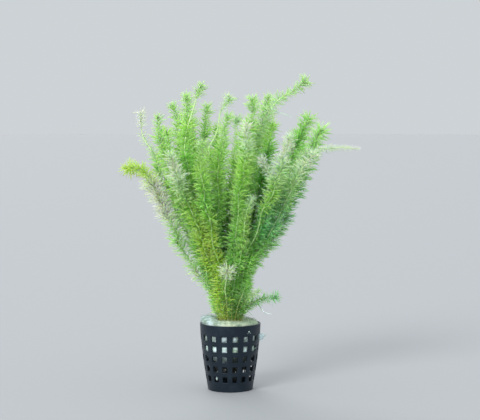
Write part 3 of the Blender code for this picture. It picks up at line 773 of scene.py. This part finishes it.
def smooth_line(knots):
    """Even points on one smooth curve through the knots, SAMPLE_STEP apart or a little less."""
    knots = np.array(knots)
    chords = np.linalg.norm(np.diff(knots, axis=0), axis=1)
    slopes = np.diff(knots, axis=0) / chords[:, None]
    tangents = np.empty_like(knots)
    tangents[0] = slopes[0]
    tangents[-1] = slopes[-1]
    before, after = chords[:-1, None], chords[1:, None]
    tangents[1:-1] = (after * slopes[:-1] + before * slopes[1:]) / (before + after)
    fine = []
    for i, chord in enumerate(chords):
        t = np.linspace(0.0, 1.0, FINE_STEPS, endpoint=False)[:, None]
        start = (2 * t**3 - 3 * t**2 + 1) * knots[i] + (t**3 - 2 * t**2 + t) * chord * tangents[i]
        end = (3 * t**2 - 2 * t**3) * knots[i + 1] + (t**3 - t**2) * chord * tangents[i + 1]
        fine.append(start + end)
    fine = np.vstack([*fine, knots[-1:]])
    along = np.concatenate([[0.0], np.cumsum(np.linalg.norm(np.diff(fine, axis=0), axis=1))])
    count = math.ceil(along[-1] / SAMPLE_STEP) + 1
    even = np.linspace(0.0, along[-1], count)
    return np.column_stack([np.interp(even, along, fine[:, axis]) for axis in range(3)]), even


def stem_lines():
    """The centre line of every stem and of the root, from the pocket's floor to the tip."""
    grown = {name: np.array(points) * MM for name, points in SHOOTS.items()}
    grown["loose_root"] = np.array(ROOT_POINTS) * MM
    feet = spread_feet([foot_aim(points[0]) for points in grown.values()])
    lines = {}
    for (name, points), foot in zip(grown.items(), feet):
        low = (*foot, POCKET_FLOOR + FOOT_CLEARANCE)
        high = (*(foot * FOOT_FLARE), WOOL_TOP)
        lines[name] = smooth_line([low, high, *points])
    return lines


def stray(point):
    """A smooth shift that depends on the point alone, mostly within half a unit each way."""
    return Vector([STRAY_SIZE * noise.noise(point + Vector(shift)) for shift in STRAY_SHIFTS])


def wander(line, amount):
    """Lets a stem stray a little from its line, more so the further it is above the wool."""
    free = np.interp(line[:, 2], (WOOL_TOP + 8 * MM, WOOL_TOP + 50 * MM), (0.0, amount))
    strays = [stray(Vector(point) * 55.0) for point in line]
    return line + free[:, None] * np.array(strays)


def line_object(name, line, values, ends=()):
    """An object with the line as its edges, cut after each of the ends, and values along it."""
    mesh = bpy.data.meshes.new(name)
    edges = [(i, i + 1) for i in range(len(line) - 1) if i not in ends]
    mesh.from_pydata([tuple(p) for p in line], edges, [])
    for key, numbers in values.items():
        mesh.attributes.new(key, "FLOAT", "POINT").data.foreach_set("value", numbers)
    return link_object(name, mesh)


def shoot_values(line, along, reach, stretches, tip_lean):
    """What the leaves do at each point of a shoot: their size, lean and number."""
    share = along / along[-1]
    height = line[:, 2]

    def before_tip(distances, amounts):
        """Goes through these amounts at these distances from the tip, in millimetres."""
        return np.interp(along[-1] - along, [distance * MM for distance in distances], amounts)

    size = 1.2 * reach * MM * np.interp(height, (WOOL_TOP + 0.5 * MM, WOOL_TOP + 9 * MM), (0.42, 1.0))
    size *= before_tip((0, 3, 6, 11, 24, 60, 100), (0.8, 0.95, 0.8, 0.85, 1.12, 1.12, 1.0))
    size *= [1.0 + 0.35 * noise.noise(Vector(point) * 110.0) for point in line]
    fill = before_tip((0, 3, 6), (1.0, 1.0, settings().leaf_fullness))
    for low, high, small, few in stretches:
        within = np.interp(share, (low - 0.02, low + 0.01, high - 0.01, high + 0.02), (0, 1, 1, 0))
        if high >= 1.0:
            within = np.interp(share, (low - 0.02, low + 0.01), (0, 1))
        size *= 1 - within * (1 - small)
        fill *= 1 - within * (1 - few)
    fill[height < WOOL_TOP + 1.0 * MM] = 0.0
    loose = before_tip((0, 3, 6), (2.0 - tip_lean, 1.5 - tip_lean / 2, 1.0))
    return {
        "leaf_size": size, "leaf_fill": fill, "leaf_loose": loose * LEAF_SCATTER,
        "leaf_lean": before_tip((0, 3, 6, 30), (tip_lean, 1.15, 1.1, 1.22)),
        "stem_size": before_tip((0, 25), (0.45, 1.0)), "shoot_place": share,
    }


def finish_piece(obj, node):
    """Hangs the piece on its body, hides the solid that it stands for, and drops the values that only
    its making needed.
    """
    for key in [attribute.name for attribute in obj.data.attributes]:
        if key.startswith(("leaf_", "stem_", "shoot_", "wool_")):
            obj.data.attributes.remove(obj.data.attributes[key])
    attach(obj, BODY)
    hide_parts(node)


class BOGMOSS_OT_shoots(bpy.types.Operator):
    """Grows every leafy stem along its line"""

    bl_idname = "bogmoss.shoots"
    bl_label = "Grow the leafy stems"

    def execute(self, context):
        values = settings()
        tree = shoot_tree()
        blades = leaf_blades()
        stem = stem_material()
        lines = stem_lines()
        for number, name in enumerate(SHOOTS):
            colours, reach, stretches = LOOKS.get(name, BACK_LOOK)
            line, along = lines[name]
            line = wander(line, values.stem_wander * STEADY.get(name, 1.0))
            tip_lean = OPEN_TIPS.get(name, CLOSED_TIP)
            grown = shoot_values(line, along, reach, stretches, tip_lean)
            shoot = line_object("leafy_" + name, line, grown)
            grow(shoot, tree, {
                "Stem radius": values.stem_radius, "Leaf spacing": values.leaf_spacing,
                "Leaf blades": blades, "Stem material": stem,
                "Leaf material": leaf_material(name + "_leaves", colours),
                "Seed": 17 * number + 3, "Sway": LEAF_SWAY,
            })
            finish_piece(shoot, name)
        for blade in list(blades.objects):
            bpy.data.objects.remove(blade)
        bpy.data.collections.remove(blades)
        return {"FINISHED"}


def round_point(radius, angle, height):
    """A point at this radius and height. Angle 0 is at the front, -Y, and grows towards +X."""
    return (radius * math.sin(angle), -radius * math.cos(angle), height)


def pot_radius(height):
    """The outer radius of the basket's wall at a height."""
    heights = (0.0, POT_MIDDLE_HEIGHT, TOP_OPENING_HEIGHT + OPENING_HEIGHT / 2, POT_HEIGHT)
    radii = (POT_BASE_RADIUS, POT_MIDDLE_RADIUS, POT_BAND_RADIUS, POT_RIM_RADIUS)
    return float(np.interp(height, heights, radii))


def ring_faces(sides, levels):
    """The faces between rings of points, each ring with its two neighbours."""
    faces = []
    for level in range(levels - 1):
        for k in range(sides):
            first, beside = level * sides, (k + 1) % sides
            faces.append((first + k, first + beside, first + sides + beside, first + sides + k))
    return faces


def pot_shell():
    """The outside of the basket as one skin, with a ring of points at each edge of its openings."""
    heights = [POT_HEIGHT]
    for row in range(OPENING_ROWS):
        middle = TOP_OPENING_HEIGHT - row * OPENING_PITCH
        heights += [middle + OPENING_HEIGHT / 2, middle - OPENING_HEIGHT / 2]
    rings = [(pot_radius(height), height) for height in (*heights, 0.0)]
    rings += [(FLOOR_SLOT_OUTER, 0.0), (FLOOR_SLOT_INNER, 0.0), (FLOOR_SLOT_INNER / 2, 0.0)]
    turn = 2 * math.pi / SHELL_SIDES
    start = FIRST_OPENING_ANGLE - math.pi / OPENING_COLUMNS / 2
    points = [round_point(r, start + k * turn, z) for r, z in rings for k in range(SHELL_SIDES)]
    faces = [(a, d, c, b) for a, b, c, d in ring_faces(SHELL_SIDES, len(rings))]
    last = (len(rings) - 1) * SHELL_SIDES
    faces.append([last + k for k in reversed(range(SHELL_SIDES))])
    mesh = bpy.data.meshes.new("moulded_basket")
    mesh.from_pydata(points, [], faces)
    mesh.shade_smooth()
    return mesh


def perforation_tree():
    """Takes the faces of the openings out of the basket's skin, by their angle and height."""
    w, group = new_tree("Basket openings", {
        "Columns": "Float", "First angle": "Float", "Rows": "Float", "Top edge": "Float",
        "Pitch": "Float", "Opening height": "Float", "Slot inner": "Float", "Slot outer": "Float",
        "Material": "Material",
    })
    x, y, z = w.axes(w.add("GeometryNodeInputPosition").outputs[0])
    angle = w.calculate("ARCTAN2", x, w.product(y, -1.0))
    angle = w.calculate("SUBTRACT", angle, group["First angle"])
    column = w.product(angle, 1.0 / (2 * math.pi), group["Columns"])
    off_column = w.calculate("SUBTRACT", column, w.calculate("ROUND", column))
    in_column = w.calculate("LESS_THAN", w.calculate("ABSOLUTE", off_column), 0.25)
    depth = w.calculate("SUBTRACT", group["Top edge"], z)
    depth = w.calculate("DIVIDE", depth, group["Pitch"])
    row = w.calculate("FLOOR", depth)
    share = w.calculate("DIVIDE", group["Opening height"], group["Pitch"])
    in_row = w.calculate("LESS_THAN", w.calculate("SUBTRACT", depth, row), share)
    from_top = w.calculate("GREATER_THAN", row, -0.5)
    to_last = w.calculate("LESS_THAN", w.total(row, 0.5), group["Rows"])
    wall = w.product(in_row, from_top, to_last, in_column)

    radius = w.distance(x, y)
    past = w.calculate("GREATER_THAN", radius, group["Slot inner"])
    short = w.calculate("LESS_THAN", radius, group["Slot outer"])
    pair = w.product(w.total(column, 0.25), 0.5)
    in_slot = w.calculate("LESS_THAN", w.calculate("FRACT", w.total(pair, 64.0)), 0.5)
    level = w.calculate("LESS_THAN", z, 0.2 * MM)
    opened = w.calculate("GREATER_THAN", w.total(wall, w.product(past, short, in_slot, level)), 0.5)
    left = w.add("GeometryNodeDeleteGeometry", {0: group["Geometry"], 1: opened}, domain="FACE")
    return w.end(w.paint(left.outputs[0], group["Material"]))


class BOGMOSS_OT_pot(bpy.types.Operator):
    """Moulds the basket, with its openings and its soft edges"""

    bl_idname = "bogmoss.pot"
    bl_label = "Mould the basket"

    def execute(self, context):
        basket = link_object("moulded_basket", pot_shell())
        grow(basket, perforation_tree(), {
            "Columns": float(OPENING_COLUMNS), "First angle": FIRST_OPENING_ANGLE,
            "Rows": float(OPENING_ROWS), "Top edge": TOP_OPENING_HEIGHT + OPENING_HEIGHT / 2,
            "Pitch": OPENING_PITCH, "Opening height": OPENING_HEIGHT,
            "Slot inner": FLOOR_SLOT_INNER, "Slot outer": FLOOR_SLOT_OUTER,
            "Material": plastic_material(),
        })
        wall = basket.modifiers.new("wall", "SOLIDIFY")
        wall.thickness = POT_WALL
        wall.offset = -1.0
        wall.use_even_offset = True
        soft = basket.modifiers.new("soft_edges", "BEVEL")
        soft.width = settings().pot_edge
        soft.segments = 2
        soft.limit_method = "ANGLE"
        soft.angle_limit = math.radians(35.0)
        soft.harden_normals = True
        bake(basket)
        finish_piece(basket, "net_pot")
        return {"FINISHED"}


def wool_lump(angle, seed):
    """A smooth wave round the plug that keeps its top from being flat."""
    waves = [share * np.sin(n * angle + shift * seed) for n, share, shift in WOOL_LUMP_WAVES]
    return WOOL_LUMP * sum(waves)


def wool_ring(radius, height, lumpy=0.0, seed=0.0, overhang=0.0):
    """One ring of the plug. Where it is lumpy, its left side stands higher than the rest."""
    angle = np.arange(WOOL_SIDES) * 2 * math.pi / WOOL_SIDES
    left = np.clip(-np.sin(angle), 0.0, None) ** 2
    right = np.clip(np.sin(angle), 0.0, None) ** 2
    lumps = (1.0 - 0.7 * right) * wool_lump(angle, seed)
    rise = lumpy * (lumps + WOOL_RAISED_SIDE * left - WOOL_SUNK_SIDE * right)
    wide = radius + overhang * left
    return np.column_stack([wide * np.sin(angle), -wide * np.cos(angle), height + rise])


def wool_rings():
    """The plug's rings from its foot up the pot's wall, over its crown and down into the pocket."""
    rings = [wool_ring(radius, height) for radius, height in WOOL_FOOT_RINGS]
    heights = np.arange(WOOL_WALL_FOOT, POT_HEIGHT - 0.5 * WOOL_WALL_STEP, WOOL_WALL_STEP)
    rings += [wool_ring(pot_radius(h) - POT_WALL - WOOL_GAP, h) for h in heights]
    rim = POT_RIM_RADIUS - POT_WALL - WOOL_GAP
    edge = POCKET_EDGE_HEIGHT
    rings += [
        wool_ring(rim, 55.2 * MM, 0.3, 0.4, 0.3 * WOOL_OVERHANG),
        wool_ring(rim - 0.2 * MM, 56.2 * MM, 1.0, 0.4, WOOL_OVERHANG),
        wool_ring(rim - 1.6 * MM, 57.2 * MM, 1.0, 0.7, 0.6 * WOOL_OVERHANG),
        wool_ring(WOOL_CROWN_RADIUS + 1.8 * MM, WOOL_CROWN_HEIGHT, 1.0, 1.1),
        wool_ring(WOOL_CROWN_RADIUS - 1.5 * MM, WOOL_CROWN_HEIGHT, 1.0, 1.1),
        wool_ring(POCKET_RADIUS + 3.0 * MM, WOOL_CROWN_HEIGHT - 0.4 * MM, 0.8, 1.8),
        wool_ring(POCKET_RADIUS + 0.6 * MM, edge, 0.3, 2.0),
        wool_ring(POCKET_RADIUS, edge - 2.0 * MM, 0.1, 2.0),
        wool_ring(POCKET_RADIUS, POCKET_FLOOR + 5.0 * MM),
        wool_ring(POCKET_RADIUS, POCKET_FLOOR),
        wool_ring(POCKET_RADIUS / 2, POCKET_FLOOR),
    ]
    return rings


def wool_mesh():
    """The plug closed by a cap at its foot and one on the pocket's floor."""
    rings = wool_rings()
    faces = ring_faces(WOOL_SIDES, len(rings))
    last = (len(rings) - 1) * WOOL_SIDES
    faces.append(list(reversed(range(WOOL_SIDES))))
    faces.append([last + k for k in range(WOOL_SIDES)])
    mesh = bpy.data.meshes.new("felted_wool")
    mesh.from_pydata([tuple(point) for point in np.vstack(rings)], [], faces)
    return mesh


def opening_share(points):
    """How far inside an opening of the basket each point lies: 1 in its middle, 0 behind a bar."""
    angle = np.arctan2(points[:, 0], -points[:, 1]) - FIRST_OPENING_ANGLE
    turn = 2 * math.pi / OPENING_COLUMNS
    sideways = np.abs((angle + turn / 2) % turn - turn / 2) / (turn / 4)
    height = points[:, 2] - TOP_OPENING_HEIGHT
    upward = np.abs((height + OPENING_PITCH / 2) % OPENING_PITCH - OPENING_PITCH / 2)
    upward = upward / (OPENING_HEIGHT / 2)
    inside = np.clip(1 - sideways**2, 0.0, None) * np.clip(1 - upward**2, 0.0, None)
    beside_wall = (np.hypot(points[:, 0], points[:, 1]) > 17.0 * MM) & (height < OPENING_HEIGHT)
    return inside * beside_wall


def shape_wool(plug):
    """Swells the plug a little into the openings, draws out its tuft, and marks where fibres stand."""
    mesh = plug.data
    points = np.empty(len(mesh.vertices) * 3, np.float32)
    mesh.vertices.foreach_get("co", points)
    points = points.reshape(-1, 3)
    share = opening_share(points)
    tuft_angle = FIRST_OPENING_ANGLE + TUFT_COLUMN * 2 * math.pi / OPENING_COLUMNS
    radius = np.hypot(points[:, 0], points[:, 1])
    middle = np.array(round_point(1.0, tuft_angle, 0.0))
    beside = points - radius[:, None] * middle
    sideways = np.hypot(beside[:, 0], beside[:, 1])
    tuft = np.zeros(len(points))
    for rise, size in TUFT_LOBES:
        distance = np.hypot(sideways, points[:, 2] - TOP_OPENING_HEIGHT - rise)
        tuft += size * TUFT_LENGTH * np.exp(-(distance / TUFT_WIDTH) ** 2) * (radius > 20.0 * MM)
    outward = WOOL_SWELL * np.sqrt(share) + tuft
    points[:, :2] *= (1 + outward / np.maximum(radius, MM))[:, None]
    mesh.vertices.foreach_set("co", points.ravel())
    top = np.clip((points[:, 2] - 55.6 * MM) / (0.8 * MM), 0.0, 1.0) * (radius > 9.0 * MM)
    fuzz = mesh.attributes.new("wool_fuzz", "FLOAT", "POINT")
    fuzz.data.foreach_set("value", np.clip(top + (share > 0.3) + 4.0 * (tuft > MM), 0.0, 5.0))


def wool_tree():
    """Roughens the plug and lays loose curved fibres on it where its fuzz value asks for them."""
    w, group = new_tree("Mineral wool", {
        "Lump depth": "Float", "Fibre density": "Float", "Fibre length": "Float",
        "Fibre radius": "Float", "Material": "Material", "Seed": "Int",
    })
    place = w.add("GeometryNodeInputPosition").outputs[0]
    out = w.add("GeometryNodeInputNormal").outputs[0]
    fuzz = w.named("wool_fuzz")
    lump = w.calculate("SUBTRACT", w.cloud(place, 520.0, 3.0)[0], 0.5)
    fuller = w.total(0.35, w.calculate("MINIMUM", fuzz, 1.0))
    lift = w.product(lump, group["Lump depth"], fuller)
    body = w.shift(group["Geometry"], w.scaled(out, lift))
    density = w.product(group["Fibre density"], fuzz)
    spots = w.add("GeometryNodeDistributePointsOnFaces", {0: body, 4: density, 6: group["Seed"]},
                  distribute_method="RANDOM")
    aim = w.turn(spots.outputs[2], (0.0, 0.0, 1.0), w.chance(0.0, 6.283, 1))
    aim = w.turn(aim, (0.0, 1.0, 0.0), w.chance(0.75, 1.5, 2))
    bow = w.add("GeometryNodeCurveQuadraticBezier",
                {0: 3, 1: (0.0, 0.0, 0.0), 2: (0.25, 0.1, 0.5), 3: (-0.05, 0.0, 1.0)}).outputs[0]
    thick = w.calculate("DIVIDE", group["Fibre radius"], group["Fibre length"])
    strand = w.tube(bow, w.circle(3), thick)
    size = w.product(group["Fibre length"], w.chance(0.35, 1.2, 3))
    fibres = w.add("GeometryNodeInstanceOnPoints", {0: spots.outputs[0], 2: strand, 5: aim, 6: size})
    fibres = w.add("GeometryNodeRealizeInstances", {0: fibres.outputs[0]}).outputs[0]
    return w.end(w.paint(w.smooth(fibres, body), group["Material"]))


def thread_tree():
    """Turns a line into a round thread that wanders a little and thins out by its own values."""
    w, group = new_tree("Thread", {"Radius": "Float", "Wander": "Float", "Material": "Material"})
    line = w.add("GeometryNodeMeshToCurve", {0: group["Geometry"]}).outputs[0]
    line = w.sway(line, 260.0, group["Wander"])
    tube = w.tube(line, w.circle(8), w.product(group["Radius"], w.named("stem_size")))
    return w.end(w.paint(w.smooth(tube), group["Material"]))


def add_thread(name, node, line, sizes, values, ends=()):
    """Makes a line into threads of this radius and wander, in millimetres, and this material."""
    radius, wander_by, material = values
    thread = line_object(name, line, {"stem_size": sizes}, ends)
    tree = bpy.data.node_groups.get("Thread") or thread_tree()
    grow(thread, tree, {"Radius": radius * MM, "Wander": wander_by * MM, "Material": material})
    finish_piece(thread, node)


def crumb_mesh():
    """Small flat lumps that lie against the outside of the band."""
    shape = bmesh.new()
    for degrees, height, size in CRUMBS:
        angle = math.radians(degrees)
        spot = Vector(round_point(pot_radius(height * MM) + 0.15 * size * MM, angle, height * MM))
        flat = Matrix.Diagonal((size * MM, CRUMB_FLATNESS * size * MM, 0.8 * size * MM, 1.0))
        matrix = Matrix.Translation(spot) @ Matrix.Rotation(angle, 4, "Z") @ flat
        bmesh.ops.create_icosphere(shape, subdivisions=3, radius=1.0, matrix=matrix)
    for vert in shape.verts:
        vert.co += 0.25 * MM * stray(vert.co * 1400.0)
    mesh = bpy.data.meshes.new("wool_crumbs")
    shape.to_mesh(mesh)
    shape.free()
    mesh.shade_smooth()
    return mesh


class BOGMOSS_OT_wool(bpy.types.Operator):
    """Felts the plug of mineral wool, with its tuft, its fibres, a wisp below it and a few crumbs"""

    bl_idname = "bogmoss.wool"
    bl_label = "Felt the wool"

    def execute(self, context):
        values = settings()
        material = wool_material()
        plug = link_object("felted_wool", wool_mesh())
        round_off = plug.modifiers.new("round_off", "SUBSURF")
        round_off.levels = 2
        round_off.render_levels = 2
        bake(plug)
        shape_wool(plug)
        grow(plug, wool_tree(), {
            "Lump depth": values.wool_lump, "Fibre density": values.fibre_density,
            "Fibre length": values.fibre_length, "Fibre radius": FIBRE_RADIUS,
            "Material": material, "Seed": 5,
        })
        finish_piece(plug, "wool_plug")
        line, along = smooth_line(np.array(WISP_POINTS) * MM)
        sizes = np.interp(along / along[-1], (0.0, 0.55, 0.9, 1.0), (0.35, 0.5, 1.0, 0.4))
        add_thread("wool_wisp", "wool_plug", line, sizes, (1.0, 1.6, material))
        crumbs = link_object("wool_crumbs", crumb_mesh())
        crumbs.data.materials.append(material)
        finish_piece(crumbs, "wool_plug")
        return {"FINISHED"}


def hanging_lines():
    """Every hanging root in one row of points: the points, how thick each is, and where one ends."""
    dice = np.random.default_rng(HANGING_SEED)
    points, sizes, ends = [], [], []
    for _ in range(HANGING_ROOTS):
        radius = HANGING_REACH * math.sqrt(dice.uniform())
        angle = dice.uniform(0.0, 2 * math.pi)
        swing = angle + dice.uniform(-0.35, 0.35)
        end = dice.uniform(*HANGING_ENDS)
        start = np.array(round_point(radius, angle, HANGING_START))
        tip = np.array(round_point(radius * dice.uniform(0.7, 1.1), swing, end))
        bow = (start + tip) / 2 + np.array([*dice.uniform(-1.2, 1.2, 2), 0.0]) * MM
        line, along = smooth_line([start, bow, tip])
        points.append(line)
        thin = np.interp(along / along[-1], (0.0, 0.8, 1.0), (1.0, 0.8, 0.2))
        sizes.append(thin * dice.uniform(0.6, 1.2))
        ends.append(sum(len(part) for part in points) - 1)
    return np.vstack(points), np.concatenate(sizes), ends


class BOGMOSS_OT_root(bpy.types.Operator):
    """Grows the loose root, the roots that hang in the pot, near black as painted shade, and the thread
    near the arching shoot
    """

    bl_idname = "bogmoss.root"
    bl_label = "Grow the roots and the thread"

    def execute(self, context):
        line, along = stem_lines()["loose_root"]
        sizes = np.interp(along / along[-1], (0.0, 0.7, 0.85, 1.0), (1.0, 0.8, 1.15, 0.35))
        material = thread_material("root_skin", ROOT_WHITE)
        add_thread("thin_root", "loose_root", line, sizes, (0.62, 0.8, material))
        line, sizes, ends = hanging_lines()
        # Painted shade: the hanging roots are near black, as the shade inside the pot.
        material = thread_material("soaked_root_skin", ROOT_PAINTED_SHADE)
        add_thread("soaked_roots", "wool_plug", line, sizes, (0.55, 1.2, material), ends)
        line, along = smooth_line(np.array(STRAND_POINTS) * MM)
        sizes = np.linspace(1.0, 0.3, len(line))
        material = thread_material("strand_skin", STRAND_GREEN)
        add_thread("bare_strand", "shoot_right_arch", line, sizes, (0.4, 0.6, material))
        return {"FINISHED"}


def studio_sky():
    """Soft light from above that fades, towards the horizon, into the tone of the floor."""
    world = bpy.data.worlds.new("studio_sky")
    world.use_nodes = True
    w = Wiring(world.node_tree)
    up = w.axes(w.add("ShaderNodeTexCoord").outputs["Generated"])[2]
    light = w.mix(w.ramp(up, 0.09, 0.3, interpolation_type="SMOOTHSTEP"), HORIZON_LIGHT, SKY_LIGHT)
    w.feed(light, w.tree.nodes["Background"].inputs[0])
    return world


class BOGMOSS_OT_stage(bpy.types.Operator):
    """Sets up the floor, the light and the camera"""

    bl_idname = "bogmoss.stage"
    bl_label = "Set up the stage"

    def execute(self, context):
        scene = context.scene
        mesh = bpy.data.meshes.new("floor")
        corners = [(-1, -1), (1, -1), (1, 1), (-1, 1)]
        mesh.from_pydata([(FLOOR_HALF * x, FLOOR_HALF * y, 0) for x, y in corners], [], [(0, 1, 2, 3)])
        floor = link_object("floor", mesh)
        colour = (*settings().floor_colour, 1.0)
        mesh.materials.append(new_material("floor_paint", {"Roughness": 0.8, "Base Color": colour})[0])

        scene.world = studio_sky()
        for name, place, soft, power in SUNS:
            light = bpy.data.lights.new(name, "SUN")
            light.angle = math.radians(soft)
            light.energy = power
            lamp = link_object(name, light)
            lamp.location = place
            lamp.rotation_euler = (-Vector(place)).to_track_quat("-Z", "Y").to_euler()

        camera = bpy.data.cameras.new("camera")
        camera.lens = CAMERA_LENS
        camera.sensor_width = 36.0
        camera.clip_end = 20.0
        view = link_object("camera", camera)
        view.location = CAMERA_PLACE
        view.rotation_euler = (math.radians(90.0 - CAMERA_DOWN), 0.0, 0.0)
        scene.camera = view
        scene.view_settings.view_transform = "Standard"
        return {"FINISHED"}


class BOGMOSS_PT_panel(bpy.types.Panel):
    bl_label = "Potted stream bogmoss"
    bl_idname = "BOGMOSS_PT_panel"
    bl_space_type = "VIEW_3D"
    bl_region_type = "UI"
    bl_category = "Bogmoss"

    def draw(self, context):
        for key in BogmossSettings.__annotations__:
            self.layout.prop(context.scene.bogmoss, key)
        for operator in OPERATORS:
            self.layout.operator(operator.bl_idname)


OPERATORS = (BOGMOSS_OT_pot, BOGMOSS_OT_wool, BOGMOSS_OT_shoots, BOGMOSS_OT_root, BOGMOSS_OT_stage)


def register():
    for cls in (BogmossSettings, *OPERATORS, BOGMOSS_PT_panel):
        bpy.utils.register_class(cls)
    bpy.types.Scene.bogmoss = bpy.props.PointerProperty(type=BogmossSettings)


def unregister():
    del bpy.types.Scene.bogmoss
    for cls in (BOGMOSS_PT_panel, *reversed(OPERATORS), BogmossSettings):
        bpy.utils.unregister_class(cls)


def main():
    register()
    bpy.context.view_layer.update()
    bpy.ops.bogmoss.pot()
    bpy.ops.bogmoss.wool()
    bpy.ops.bogmoss.shoots()
    bpy.ops.bogmoss.root()
    bpy.ops.bogmoss.stage()


if __name__ == "__main__":
    main()
